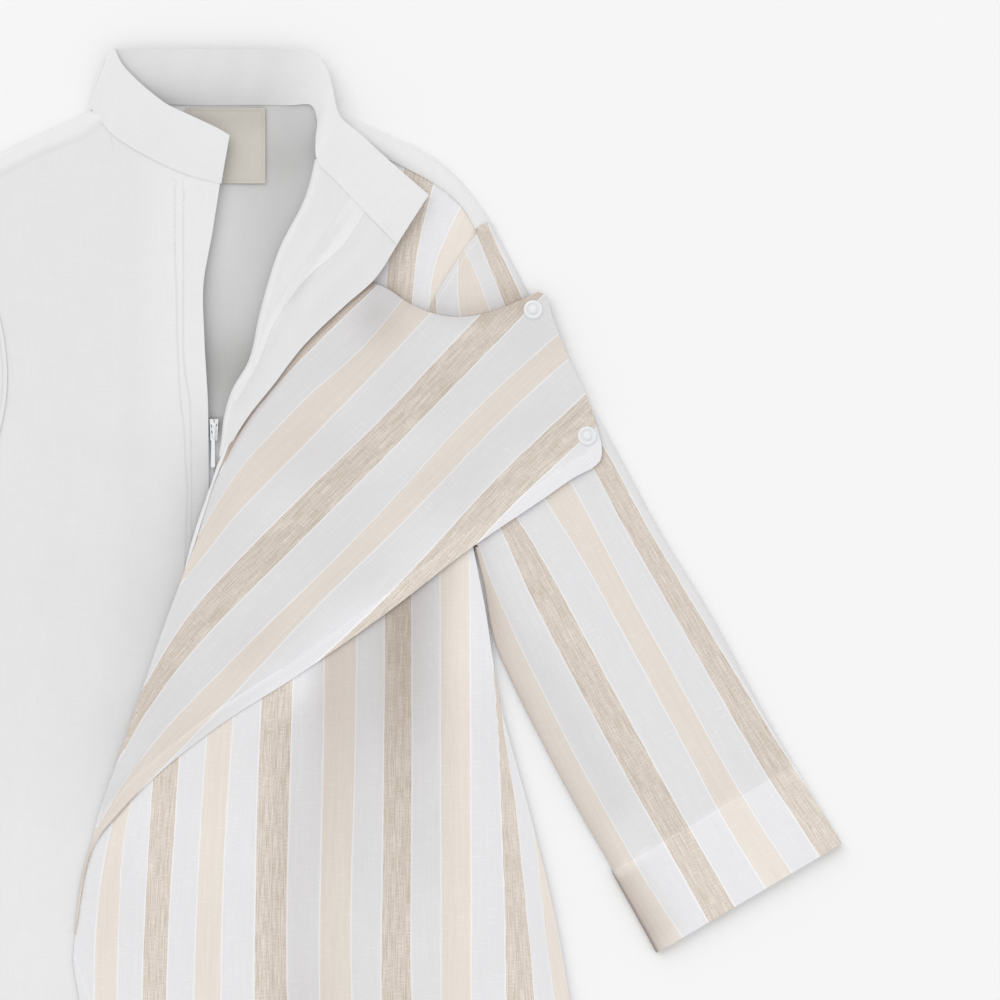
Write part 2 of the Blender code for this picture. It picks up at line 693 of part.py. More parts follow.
def add_box(mesh, low, high):
    """A box between two corners in millimetres. Gives its vertices."""
    size = [b - a for a, b in zip(low, high)]
    centre = [(a + b) / 2 for a, b in zip(low, high)]
    made = bmesh.ops.create_cube(mesh, size=1.0)["verts"]
    bmesh.ops.scale(mesh, vec=Vector(size) * MM, verts=made)
    bmesh.ops.translate(mesh, vec=Vector(centre) * MM, verts=made)
    return made


def widen(corners, factor):
    """Moves corners towards or away from the slider's middle line."""
    for corner in corners:
        corner.co.x = SLIDER_X * MM + (corner.co.x - SLIDER_X * MM) * factor


def round_edges(mesh, radius):
    bmesh.ops.bevel(
        mesh, geom=list(mesh.edges), offset=radius * MM, affect="EDGES", segments=2, profile=0.5, material=-1
    )


def make_slider(material):
    """A tapered plate with a bridge on it. The bridge's side profile is extruded across the slider."""
    y0, y1 = SLIDER_Y
    half = SLIDER_WIDTH / 2
    plate = bmesh.new()
    corners = add_box(plate, (SLIDER_X - half, y0, SLIDER_BOTTOM), (SLIDER_X + half, y1, SLIDER_TOP))
    middle = (y0 + y1) / 2 * MM
    widen([corner for corner in corners if corner.co.y < middle], SLIDER_TAPER)
    round_edges(plate, 0.35)
    slider = new_object("zip_slider", plate, material)
    low = SLIDER_TOP - BRIDGE_SINK
    high = SLIDER_TOP + BRIDGE_GAP
    near = BAR_Y - BRIDGE_GAP / 2 - 1.65
    far = near + BRIDGE_LENGTH
    wall = BRIDGE_WALL
    outline = [(near, low), (near, high), (near + wall, high + wall), (far - wall, high + wall), (far, high)]
    outline += [(far, low), (far - wall, low), (far - wall, high), (near + wall, high), (near + wall, low)]
    bridge = bmesh.new()
    left = SLIDER_X - BRIDGE_WIDTH / 2
    face = bridge.faces.new([bridge.verts.new(Vector((left, y, z)) * MM) for y, z in outline])
    grown = bmesh.ops.extrude_face_region(bridge, geom=[face])["geom"]
    moved = [item for item in grown if isinstance(item, bmesh.types.BMVert)]
    bmesh.ops.translate(bridge, vec=Vector((BRIDGE_WIDTH * MM, 0, 0)), verts=moved)
    bmesh.ops.recalc_face_normals(bridge, faces=bridge.faces)
    join_into(slider, new_object("zip_slider_bridge", bridge, material))


def join_into(piece, addition):
    """A Boolean union. The added shape is only a helper, and stays out of renders."""
    addition.hide_render = True
    addition.display_type = "WIRE"
    union = piece.modifiers.new("Join " + addition.name, "BOOLEAN")
    union.operation = "UNION"
    union.object = addition


def make_pull(material):
    """A tab with two arms that hold a bar. The bar runs under the bridge, and the pull turns on it."""
    low = BAR_Z - TAB_THICKNESS / 2
    high = BAR_Z + TAB_THICKNESS / 2
    half = TAB_WIDTH / 2
    tab = bmesh.new()
    corners = add_box(tab, (SLIDER_X - half, TAB_BOTTOM_Y, low), (SLIDER_X + half, TAB_TOP_Y, high))
    middle = (TAB_BOTTOM_Y + TAB_TOP_Y) / 2 * MM
    widen([corner for corner in corners if corner.co.y < middle], TAB_FLARE)
    round_edges(tab, 0.25)
    pull = new_object("zip_pull", tab, material)
    inset = 0.05  # the arms are a little thinner than the tab
    overlap = 0.8
    for side, name in ((-1, "right"), (1, "left")):
        near, far = sorted((SLIDER_X + side * ARM_INNER, SLIDER_X + side * ARM_OUTER))
        arm = bmesh.new()
        add_box(arm, (near, TAB_TOP_Y - overlap, low + inset), (far, BAR_Y + BAR_RADIUS, high - inset))
        join_into(pull, new_object("zip_pull_arm_" + name, arm, material))
    bar = bmesh.new()
    made = bmesh.ops.create_cone(
        bar,
        cap_ends=True,
        segments=12,
        radius1=BAR_RADIUS * MM,
        radius2=BAR_RADIUS * MM,
        depth=(ARM_INNER + ARM_OUTER) * MM,
    )["verts"]
    turn = Vector((0, 0, 1)).rotation_difference(Vector((1, 0, 0))).to_matrix()
    bmesh.ops.rotate(bar, verts=made, matrix=turn)
    bmesh.ops.translate(bar, verts=made, vec=Vector((SLIDER_X, BAR_Y, BAR_Z)) * MM)
    join_into(pull, new_object("zip_pull_bar", bar, material))


def make_snap(name, centre, material):
    """A turned ring with a domed boss, on the wrap's upper face."""
    mesh = bmesh.new()
    base = FLAP_LEVEL + WALL / 2 + GAP
    profile = [mesh.verts.new(Vector((row.radius, 0, row.height)) * MM) for row in SNAP_PROFILE]
    edges = [mesh.edges.new(pair) for pair in zip(profile, profile[1:])]
    bmesh.ops.spin(
        mesh,
        geom=profile + edges,
        cent=(0, 0, 0),
        axis=(0, 0, 1),
        angle=2 * math.pi,
        steps=20,
        use_merge=True,
    )
    bmesh.ops.remove_doubles(mesh, verts=mesh.verts, dist=WELD)
    bmesh.ops.recalc_face_normals(mesh, faces=mesh.faces)
    snap = new_object(name, mesh, material)
    snap.location = Vector((centre.x, centre.y, base)) * MM
    return snap


def main():
    for item in list(bpy.data.objects):
        bpy.data.objects.remove(item, do_unlink=True)
    cotton = new_material("white_cotton", (0.80, 0.80, 0.80), 0.9)
    linen = new_material("striped_linen", (0.72, 0.64, 0.55), 0.9)
    beige = new_material("label_cloth", (0.58, 0.54, 0.47), 0.9)
    plastic = new_material("white_plastic", (0.85, 0.85, 0.85), 0.35)
    make_back(cotton)
    make_shoulder_turn("left_shoulder_turn", 1, cotton)
    make_shoulder_turn("right_shoulder_turn", -1, cotton)
    make_right_front(cotton)
    make_left_front(cotton)
    make_wrap(linen)
    make_collar(cotton)
    make_sleeve("left_sleeve", 1, linen)
    make_sleeve("right_sleeve", -1, cotton)
    make_label(beige)
    make_tapes(cotton)
    make_slider(plastic)
    make_pull(plastic)
    for name, centre in SNAP_CENTRES.items():
        make_snap(name, centre, plastic)


main()
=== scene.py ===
import math

import bmesh
import bpy
import numpy as np
from mathutils import Matrix, Vector


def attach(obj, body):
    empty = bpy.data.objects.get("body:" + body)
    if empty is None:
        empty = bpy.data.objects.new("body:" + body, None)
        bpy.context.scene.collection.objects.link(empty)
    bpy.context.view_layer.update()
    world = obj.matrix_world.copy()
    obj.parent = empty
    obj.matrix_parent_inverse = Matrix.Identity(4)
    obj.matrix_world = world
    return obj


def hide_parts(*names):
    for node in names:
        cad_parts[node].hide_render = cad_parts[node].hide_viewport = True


# Thobe robe laid flat. Tables are in millimetres: x towards the wearer's left, y towards the collar, z up.
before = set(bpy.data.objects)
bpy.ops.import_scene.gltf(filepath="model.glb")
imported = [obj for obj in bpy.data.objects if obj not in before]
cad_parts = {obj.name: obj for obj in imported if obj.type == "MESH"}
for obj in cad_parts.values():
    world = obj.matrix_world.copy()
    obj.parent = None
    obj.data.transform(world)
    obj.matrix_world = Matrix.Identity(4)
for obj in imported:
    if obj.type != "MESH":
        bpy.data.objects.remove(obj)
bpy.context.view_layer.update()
mm = 0.001
weld = 1e-6  # places nearer than this, in metres, are one

# Curves, and surfaces that follow them


def fineCurve(points, steps=12):
    # a smooth line through the points, a dozen steps to each span
    knots = np.array(points, float)
    spans = np.linalg.norm(np.diff(knots, axis=0), axis=1)[:, None]
    slopes = np.diff(knots, axis=0) / spans
    inner = (slopes[:-1] * spans[1:] + slopes[1:] * spans[:-1]) / (spans[:-1] + spans[1:])
    tangents = np.vstack([slopes[:1], inner, slopes[-1:]])
    line = [knots[:1]]
    t = np.linspace(0, 1, steps + 1)[1:, None]
    for i, span in enumerate(spans):
        line.append(
            knots[i] * (2 * t**3 - 3 * t**2 + 1)
            + tangents[i] * span * (t**3 - 2 * t**2 + t)
            + knots[i + 1] * (3 * t**2 - 2 * t**3)
            + tangents[i + 1] * span * (t**3 - t**2)
        )
    return np.vstack(line)


def evenly(points, count):
    # the line cut into count equal lengths
    points = np.array(points, float)
    along = np.r_[0, np.cumsum(np.linalg.norm(np.diff(points, axis=0), axis=1))]
    wanted = np.linspace(0, along[-1], count + 1)
    return np.stack([np.interp(wanted, along, points[:, k]) for k in range(points.shape[1])], axis=1)


def smoothCurve(points, count):
    return evenly(fineCurve(points), count)


def lengthsAlong(rows):
    # how far along its row each place is
    lengths = np.linalg.norm(np.diff(rows, axis=1), axis=2).cumsum(axis=1)
    return np.concatenate([np.zeros((len(rows), 1)), lengths], axis=1)


def leftNormals(line):
    ahead = np.gradient(line[:, :2], axis=0)
    ahead /= np.linalg.norm(ahead, axis=1)[:, None] + 1e-12
    return np.stack([-ahead[:, 1], ahead[:, 0]], axis=1)


def fillBetween(bottom, top, left, right):
    # rows from bottom to top that follow all four edges
    u = np.linspace(0, 1, len(bottom))[None, :, None]
    v = np.linspace(0, 1, len(left))[:, None, None]
    corners = (1 - v) * ((1 - u) * bottom[0] + u * bottom[-1]) + v * ((1 - u) * top[0] + u * top[-1])
    return (1 - u) * left[:, None] + u * right[:, None] + (1 - v) * bottom[None] + v * top[None] - corners


def softStep(t):
    t = np.clip(t, 0, 1)
    return t * t * (3 - 2 * t)


def falloff(distance, width, power=2):
    # 1 on a line, and falling to nothing a few widths away
    return np.exp(-((distance / width) ** power))


def softMax(a, b, blend=0.6):
    return 0.5 * (a + b + np.sqrt((a - b) ** 2 + blend**2))


def nearLine(x, y, points):
    # distance from a line, how far along it from 0 to 1, and on which side
    points = np.array(points, float)
    along = np.r_[0, np.cumsum(np.linalg.norm(np.diff(points, axis=0), axis=1))]
    best = np.full(np.shape(x), 1e9)
    share = np.zeros(np.shape(x))
    side = np.zeros(np.shape(x))
    for i, (a, b) in enumerate(zip(points[:-1], points[1:])):
        step = b - a
        length = np.linalg.norm(step)
        t = np.clip(((x - a[0]) * step[0] + (y - a[1]) * step[1]) / length**2, 0, 1)
        dx, dy = x - a[0] - t * step[0], y - a[1] - t * step[1]
        gap = np.hypot(dx, dy)
        closer = gap < best
        best = np.where(closer, gap, best)
        share = np.where(closer, (along[i] + t * length) / along[-1], share)
        side = np.where(closer, np.sign(step[0] * dy - step[1] * dx), side)
    return best, share, side


def gapFrom(x, y, points):
    return nearLine(x, y, points)[0]


def signedGap(x, y, points):
    gap, _, side = nearLine(x, y, points)
    return gap * side


def foldLift(x, y, folds):
    # soft ridges and troughs: each has a line, a height, its half width, and how long its ends take to fade
    lift = np.zeros(np.shape(x))
    for points, height, halfWidth, fade in folds:
        gap, share, _ = nearLine(x, y, points)
        ends = softStep(share / fade) * softStep((1 - share) / fade)
        lift = lift + height * ends * falloff(gap, halfWidth)
    return lift


def drift(x, y, seed, size):
    # slow uneven waves, between 0 and 1
    total = np.zeros(np.shape(x))
    for k in range(5):
        angle = 2.4 * k + seed
        wave = 2 * math.pi / (size * (0.7 + 0.23 * k))
        total = total + np.sin((x * math.cos(angle) + y * math.sin(angle)) * wave + seed * (1.7 + k))
    return 0.5 + 0.1 * total


# The body's outlines, how high its layers lie, and the stripes of its cloth

body = {
    "side": [
        (155.4, 152), (162.4, 117), (171, 62), (187.5, 0), (202.5, -60), (213.5, -120), (229, -230), (241, -340),
        (249, -438),
    ],
    "armhole": [
        (166.2, 345.4), (156, 336), (142.8, 316.8), (132, 298.2), (126, 273), (124.8, 246), (129.6, 219),
        (139.2, 192), (155.4, 152),
    ],
    "shoulder": [(70.6, 415.6), (75, 412.6), (96.6, 402), (137.4, 380.4), (158.4, 357), (166.2, 345.4)],
    "shoulderSeam": [
        (74, 398.5), (97.6, 388.6), (115.6, 379.6), (131.6, 371), (141.6, 364), (151.6, 353.5), (157.6, 342.6),
    ],
    "seamUnderCollar": (61, 410.6),
    "hem": [(249, -438), (170, -446), (80, -449.5), (0, -450)],
    "backNeck": [(-60, 418.6), (0, 419.6), (60, 418.6)],
    "armholeRows": 60,
    "hemDepth": 22.0,
    "clothThickness": 0.7,
}
# Height of each layer's middle above the table, and how far the rolled edges reach back under themselves
levels = {
    "back": 0.6,
    "inner": 2.1,
    "outer": 3.6,
    "flap": 5.2,
    "foldTop": 8.2,
    "lapel": 10.2,
    "shoulderRoll": 1.5,
    "foldRoll": 2.2,
    "lapelRoll": 3.4,
    "openingLift": 2.8,
}


def sideEdge(rows):
    return smoothCurve(body["side"], rows)


def armholeEdge():
    # the shoulder tip, the end of the shoulder seam, then the armhole down to the armpit
    seamEnd = np.array(body["shoulderSeam"][-1])
    line = fineCurve(body["armhole"])
    below = line[line[:, 1] < seamEnd[1] - 1]
    return np.vstack([[body["armhole"][0]], evenly(np.vstack([[seamEnd], below]), body["armholeRows"])])


def frontSide(sign, count):
    joined = np.vstack([armholeEdge()[1:], sideEdge(200)[1:]])
    return evenly(joined, count) * (sign, 1)


def hemEdge(start, end, count):
    right = fineCurve(body["hem"])
    whole = np.vstack([right * (-1, 1), right[::-1]])
    inside = whole[(whole[:, 0] > start[0] + 1) & (whole[:, 0] < end[0] - 1)]
    return evenly(np.vstack([[start], inside, [end]]), count)


# Every band of the striped cloth lies between two of these lines. The first number counts repeats: a tan band
# is centred on each whole number and a cream one half way between.
bandHalf = 0.1164
repeatLength = 73.0
flapBands = [
    (-0.8836, [
        (97.2, 307.8), (81.6, 293.4), (63.6, 276), (45.6, 257.4), (28.8, 238.8), (15.2, 219.6), (8.6, 206),
        (3, 192.5), (-6.5, 178), (-20, 160), (-32, 144),
    ]),
    (-0.6164, [
        (110.4, 295.8), (102.6, 285), (93.6, 274.2), (87.6, 267.6), (64.8, 249), (51.6, 238.2), (41.4, 225),
        (27.6, 213), (15.6, 199.2), (4.8, 183), (-9, 158), (-19.5, 138), (-30, 121),
    ]),
    (-0.3836, [
        (129, 291.6), (111.6, 273), (99.6, 259.8), (87.6, 247.2), (63.6, 223.2), (51.6, 210), (28.8, 187.8),
        (9.6, 168), (-3.6, 149.6), (-15.5, 134.6), (-27, 121),
    ]),
    (-0.1164, [
        (159, 289.8), (135.6, 265.8), (111.6, 239.4), (87.6, 215.4), (63.6, 192.6), (39.6, 168.6), (15.6, 144.6),
        (-6, 121.8), (-18.6, 106.8), (-28.8, 88.8), (-40.8, 70.2), (-50.4, 45), (-55.8, 25.8),
    ]),
    (0.1164, [
        (183.6, 289.2), (159.6, 264.6), (135.6, 240), (111.6, 215.4), (87.6, 191.4), (63.6, 167.4), (39.6, 143.4),
        (15.6, 120), (-5.4, 98.4), (-20.4, 81), (-32.4, 64.8), (-44.4, 48), (-54, 28.8),
    ]),
    (0.3836, [
        (207, 279), (189.6, 264), (168.6, 244.8), (147.6, 224.4), (123.6, 197.4), (99.6, 171), (75.6, 146.4),
        (48.6, 120), (27.6, 100.2), (3.6, 75.6), (-20.4, 52.2), (-43, 25.8), (-53.5, 11), (-59.6, 1.9),
        (-66, -9.3), (-71.4, -19.5),
    ]),
    (0.6164, [
        (212.4, 265.2), (183.6, 240), (159.6, 216), (136.8, 191.4), (111.6, 165.6), (88.8, 143.4), (69.6, 125.4),
        (51.6, 106.8), (28.8, 82.2), (2.4, 54), (-29.4, 21.6), (-49.2, 0),
    ]),
    (0.8836, [
        (222.6, 243), (201.6, 223.2), (177.6, 201), (159.6, 182.4), (141.6, 162), (117.6, 136.2), (102.6, 120),
        (78.6, 97.8),
    ]),
    (1.1164, [
        (234, 228), (217.8, 213.6), (195.6, 193.2), (176, 174.4), (164, 161.5), (152, 148), (135.6, 130),
        (102.6, 96),
    ]),
]
baseBands = [
    (-1.6164, [
        (-38.4, 144), (-51.6, 24), (-60.6, -18), (-67.2, -42), (-69.3, -66), (-70.8, -87), (-71.2, -120),
        (-70.8, -180), (-68.4, -450),
    ]),
    (-1.3836, [
        (-23.4, 144), (-44.4, 24), (-54, -18), (-56.4, -42), (-57.3, -72), (-57.9, -96), (-58.4, -120),
        (-58.2, -180), (-54, -450),
    ]),
    (-1.1164, [
        (-26.4, 144), (-34.8, 36), (-38.1, -12), (-39.6, -42), (-41.1, -72), (-42.3, -96), (-42.6, -120),
        (-43.2, -180), (-39.6, -450),
    ]),
    (-0.8836, [
        (-12.6, 144), (-20.4, 36), (-23.1, -12), (-25.5, -42), (-27, -72), (-28.2, -96), (-28.5, -120),
        (-28.8, -180), (-24, -450),
    ]),
    (-0.6164, [
        (1.2, 144), (-3.6, 42), (-6.6, 0), (-8.4, -30), (-9.6, -60), (-11.1, -96), (-11.7, -120), (-12, -180),
        (-9.6, -450),
    ]),
    (-0.3836, [
        (15.6, 144), (11.4, 48), (7.8, 0), (6, -30), (4.8, -60), (3.9, -96), (3.9, -120), (4.2, -180),
        (7.8, -450),
    ]),
    (-0.1164, [
        (31.2, 144), (29.1, 66), (27, 24), (25.8, -18), (25.2, -60), (24.6, -96), (24.6, -120), (24.6, -180),
        (27.6, -450),
    ]),
    (0.1164, [
        (49.2, 144), (47.1, 66), (45.6, 24), (44.7, -12), (43.5, -48), (43.2, -96), (44.1, -120), (44.4, -180),
        (48, -450),
    ]),
    (0.3836, [
        (78.6, 396), (69.6, 300), (67.2, 120), (66.6, 84), (66.3, 36), (65.4, 0), (64.5, -36), (63.9, -78),
        (63.9, -120), (64.2, -180), (66, -450),
    ]),
    (0.6164, [
        (95.4, 388.8), (87.6, 300), (85.8, 120), (84.9, 60), (84, 12), (82.8, -24), (81.9, -60), (81.6, -96),
        (82.5, -120), (83.4, -180), (86.4, -450),
    ]),
    (0.8836, [
        (114.6, 380.4), (110.4, 360), (105, 330), (103.2, 306), (102.6, 120), (102.6, 60), (102, 12),
        (101.6, -30), (101, -72), (100.5, -120), (100.8, -180), (103.8, -450),
    ]),
    (1.1164, [
        (132, 370.8), (128.4, 360), (123.6, 339), (120, 318), (118.2, 294), (118.2, 120), (118.5, 24),
        (118.2, -24), (117.9, -60), (117.6, -96), (118.8, -120), (118.8, -180), (123, -450),
    ]),
    (1.3836, [
        (148.8, 357), (141.6, 342), (135.6, 331.8), (130.8, 319.2), (128.4, 300), (130.8, 240), (136.2, 144),
        (136.2, 0), (136.8, -60), (136.5, -120), (138, -180), (142.8, -450),
    ]),
    (1.6164, [
        (166.8, 352.8), (163.2, 336), (157.2, 319.2), (148.8, 294), (148.8, 240), (153.3, 144), (153.6, 60),
        (153.6, 0), (153.9, -60), (153.6, -120), (156, -180), (162.6, -450),
    ]),
    (1.8836, [
        (183.6, 348), (174.6, 300), (165, 144), (165.9, 108), (167.4, 84), (169.8, 60), (171.6, 36), (172, 12),
        (172.8, -12), (173.8, -36), (174.9, -60), (175.1, -90), (175.4, -120), (177.6, -180), (183.6, -450),
    ]),
    (2.1164, [
        (195.6, 342), (183.6, 288), (166.5, 144), (167.1, 108), (168.6, 84), (171.6, 60), (174, 36), (179.1, 12),
        (182.1, -12), (184.2, -36), (186.9, -60), (189.9, -90), (192.3, -120), (196.8, -180), (205.2, -450),
    ]),
    (2.3836, [
        (207.6, 336), (195.6, 282), (171.6, 144), (172.8, 108), (174.6, 84), (177, 60), (180, 36), (186, 12),
        (191.4, -12), (195, -36), (197.4, -66), (200.4, -90), (204.6, -120), (212.4, -180), (225.6, -450),
    ]),
    (2.6164, [
        (219.6, 330), (207.6, 276), (178.8, 144), (180, 108), (181.2, 84), (183.6, 60), (186.6, 36), (191.4, 12),
        (195.6, -18), (199.2, -40.8), (203.7, -66), (207.6, -90), (213.3, -120), (225.6, -180), (243.6, -450),
    ]),
]
sleeveBands = [
    (-0.1164, [
        (162.2, 349), (165.4, 342), (168.7, 334.6), (174.1, 323.1), (179.2, 313), (185.2, 300), (204.6, 258),
        (238.2, 204.6), (256.8, 168), (278.4, 132), (300, 96), (322.2, 60), (343.8, 24), (368.4, -12),
        (376.8, -25.2),
    ]),
    (0.1164, [
        (154.6, 346), (157.6, 339), (162, 329.5), (164.8, 322), (167.2, 315), (174, 297), (192.6, 258),
        (228, 199.8), (243.6, 168), (264.6, 132), (285, 96), (305.4, 60), (325.8, 24), (349.8, -12),
        (361.8, -31.2),
    ]),
    (0.3836, [
        (151.8, 326.4), (157.8, 318), (162, 307.2), (164.4, 294), (183.6, 246), (214.2, 189.6), (226.2, 168),
        (244.2, 132), (264, 96), (284.4, 60), (303.6, 24), (325.2, -12), (344.4, -40.8),
    ]),
    (0.6164, [
        (147, 325.2), (146.4, 315), (144.6, 300), (159.6, 252), (198, 180.6), (207.6, 168), (229.2, 132),
        (248.4, 96), (268.2, 60), (287.4, 24), (306, -12), (330, -50.4),
    ]),
    (0.8836, [
        (133.2, 300), (135.6, 264), (171.6, 180), (183, 168), (204, 132), (223.2, 96), (242.4, 60), (262.2, 24),
        (282, -12), (303, -48), (312.6, -64.8),
    ]),
    (1.1164, [
        (123.6, 282), (129.6, 240), (162.6, 180), (171.6, 166.8), (185.4, 132), (204, 96), (223.2, 60),
        (242.4, 24), (262.8, -12), (283.2, -48), (296.4, -72),
    ]),
    (1.3836, [
        (111.6, 240), (135.6, 192), (153.6, 174), (157.8, 153), (165.6, 132), (181.2, 96), (199.2, 60),
        (217.2, 24), (237.6, -12), (258, -48), (280.2, -81.6),
    ]),
    (1.6164, [
        (99.6, 222), (123.6, 180), (144.6, 156), (151.2, 144), (157.2, 126), (166.8, 96), (183.6, 60), (201, 24),
        (222, -12), (242.4, -48), (264.6, -86.4),
    ]),
]


def evenedOut(points, spread=14.0, step=3.0):
    # small wobbles smoothed away, so that a band runs as straight as its yarn
    length = np.linalg.norm(np.diff(np.array(points, float), axis=0), axis=1).sum()
    line = evenly(points, int(length / step))
    reach = int(2.5 * spread / step)
    ahead, behind = (line[4] - line[0]) / 4, (line[-1] - line[-5]) / 4
    before = line[0] - ahead * np.arange(reach, 0, -1)[:, None]
    after = line[-1] + behind * np.arange(1, reach + 1)[:, None]
    longer = np.vstack([before, line, after])
    weights = np.exp(-((np.arange(-reach, reach + 1) * step / spread) ** 2) / 2)
    weights /= weights.sum()
    return np.stack([np.convolve(longer[:, k], weights, "valid") for k in (0, 1)], axis=1)


def stripeField(bands, along, flip=1):
    # for a set of band edges: where a place lies on the cloth, in millimetres across and along the stripes
    along = np.array(along, float) / np.hypot(*along)
    across = np.array([-along[1], along[0]]) * flip
    lines = []
    for count, points in bands:
        points = evenedOut(points)
        order = np.argsort(points @ along)
        lines.append((count, (points @ along)[order], (points @ across)[order]))

    def onCloth(x, y):
        p = x * along[0] + y * along[1]
        q = x * across[0] + y * across[1]
        edges = []
        for _, ps, qs in lines:
            edge = np.interp(p, ps, qs)
            for past, i, j in ((p < ps[0], 0, 4), (p > ps[-1], -1, -5)):
                slope = (qs[i] - qs[j]) / (ps[i] - ps[j])
                edge = np.where(past, qs[i] + (p - ps[i]) * slope, edge)
            edges.append(edge)
        counts = [line[0] for line in lines]
        found = np.zeros(np.shape(p))
        for i in range(len(edges) - 1):
            span = np.maximum(edges[i + 1] - edges[i], 0.3)
            share = (q - edges[i]) / span
            if i == 0:
                share = np.where(share < 0, (q - edges[0]) / repeatLength / (counts[1] - counts[0]), share)
            if i == len(edges) - 2:
                share = np.where(share > 1, 1 + (q - edges[-1]) / repeatLength / (counts[-1] - counts[-2]), share)
            else:
                share = np.clip(share, None if i == 0 else 0, 1)
            value = counts[i] + share * (counts[i + 1] - counts[i])
            found = np.where((q >= edges[i]) | (i == 0), value, found)
        return np.stack([found * repeatLength, p], axis=-1)

    return onCloth


# the way the warp runs in each piece
warpRuns = {"flap": (-0.64, -0.77), "base": (0, -1), "sleeve": (0.514, -0.857)}
flapStripes = stripeField(flapBands, warpRuns["flap"])
baseStripes = stripeField(baseBands, warpRuns["base"])
sleeveStripes = stripeField(sleeveBands, warpRuns["sleeve"], flip=-1)


def clothAt(across, along):
    # where a place lies on the cloth itself, in millimetres across and along its yarn
    return np.stack(np.broadcast_arrays(across, along), axis=-1)


# Edges and folds that several pieces share, and the height of each layer at any place

foldEdges = {
    "placket": [(4, 368.6), (-0.6, 340), (-6, 308), (-5.4, 278), (-3.2, 236), (-3, 205), (-3, 60)],
    "wrapFold": [
        (90, 313), (75, 297.6), (49, 272), (32, 249), (20, 231), (10.6, 216), (4.6, 202), (-4.3, 180), (-11.5, 155),
        (-17.5, 136.4), (-28.8, 106), (-42, 67.8), (-56.4, 25.8), (-63.6, 6), (-67.2, -4.2), (-70.2, -14.4),
        (-72.7, -24.6), (-76, -35), (-79.2, -48), (-81.2, -61.4), (-82.3, -72), (-83, -80),
    ],
    "wrapFree": [(-83, -80), (-84, -94), (-80.6, -118), (-71, -285), (-61, -449.8)],
    "lapelRoll": [
        (61.2, 384), (56.2, 364), (39.6, 330), (28, 292), (20.8, 262), (11, 245), (6.6, 230), (4.9, 216),
        (3.2, 206),
    ],
    "lapelEdge": [
        (111.2, 334.4), (96, 311.4), (80.4, 297.6), (53, 270.9), (35.6, 248.2), (21.4, 230.4), (12.4, 216.4),
        (6, 204.8),
    ],
}

# Soft folds: line, height, half width, share of its length that its ends take to fade
creases = {
    "right": [
        ([(-112, 330), (-106, 60), (-92, -330)], 1.6, 17, 0.3),
        ([(-150, 90), (-138, -160), (-118, -430)], 2.0, 20, 0.25),
        ([(-190, -160), (-182, -300), (-170, -440)], 2.2, 18, 0.3),
        ([(-52, 330), (-60, 120), (-96, -40)], 0.9, 15, 0.3),
        ([(-120, 20), (-112, -200), (-104, -440)], 1.0, 12, 0.25),
    ],
    "wrap": [
        ([(40, -40), (46, -220), (58, -440)], 1.7, 15, 0.2),
        ([(110, 10), (120, -200), (138, -440)], 2.0, 17, 0.2),
        ([(176, -100), (188, -260), (204, -440)], 1.8, 14, 0.2),
        ([(74, 110), (76, -40), (84, -260)], 1.0, 11, 0.3),
        ([(156, 150), (158, 20), (162, -150)], 1.1, 10, 0.3),
        ([(-30, 20), (-34, -200), (-30, -430)], 1.2, 14, 0.25),
        ([(128, 372), (122, 330), (118, 300)], 0.8, 8, 0.3),
    ],
    "flap": [
        ([(-60, 10), (-10, 80), (60, 150), (120, 205)], 1.5, 13, 0.25),
        ([(-50, 55), (0, 118), (50, 172), (110, 250)], 1.3, 11, 0.3),
        ([(-8, 62), (60, 122), (140, 190), (200, 240)], 1.4, 12, 0.25),
        ([(40, 190), (90, 240), (140, 285)], 1.2, 11, 0.3),
    ],
    "sleeve": [
        ([(200, 130), (225, 70), (268, 0), (300, -55)], 1.5, 14, 0.25),
        ([(260, 130), (290, 70), (330, 5)], 1.2, 15, 0.3),
        ([(170, 90), (190, 40), (225, -20)], 1.2, 10, 0.3),
        ([(150, 318), (152, 300), (150, 284)], 1.0, 7, 0.3),
    ],
    "lapel": [
        ([(79, 356), (62, 333), (45, 309), (33, 288)], 1.3, 4.2, 0.25),
        ([(93, 352), (80, 333), (57, 312), (38, 285), (31, 273), (24, 258), (14, 240), (7, 228)], 1.3, 3.8, 0.15),
        ([(98, 336), (80, 318), (66, 303), (48, 284)], 0.7, 6.0, 0.3),
        ([(86, 354), (70, 332), (55, 310), (38, 286)], -0.9, 2.6, 0.2),
    ],
}
placketX = fineCurve([p[::-1] for p in foldEdges["placket"][::-1]])


def innerHeight(x, y):
    return levels["inner"] + 0.25 * drift(x, y, 3.1, 90)


def rightHeight(x, y):
    # lies on the back under the wrap, stands up at the armhole, over the zip and along the neck opening
    overTape = softStep((y - 195) / 30)
    atArmhole = softStep((-x - 60) / 45) * softStep((y - 105) / 47)
    lift = (levels["outer"] - levels["inner"]) * np.maximum(overTape, atArmhole)
    edge = np.interp(y, placketX[:, 0], placketX[:, 1])
    opening = levels["openingLift"] * softStep((y - 190) / 70) * falloff(np.minimum(x - edge, 0), 26)
    return levels["inner"] + lift + opening + foldLift(x, y, creases["right"]) + 0.5 * drift(x, y, 0.7, 120)


def wrapHeight(x, y):
    own = levels["outer"] + foldLift(x, y, creases["wrap"]) + 0.5 * drift(x, y, 1.9, 80)
    under = rightHeight(x, y) + 1.3
    overRight = softStep((4 - x) / 6) * softStep((190 - y) / 20)
    return own * (1 - overRight) + softMax(own, under) * overRight


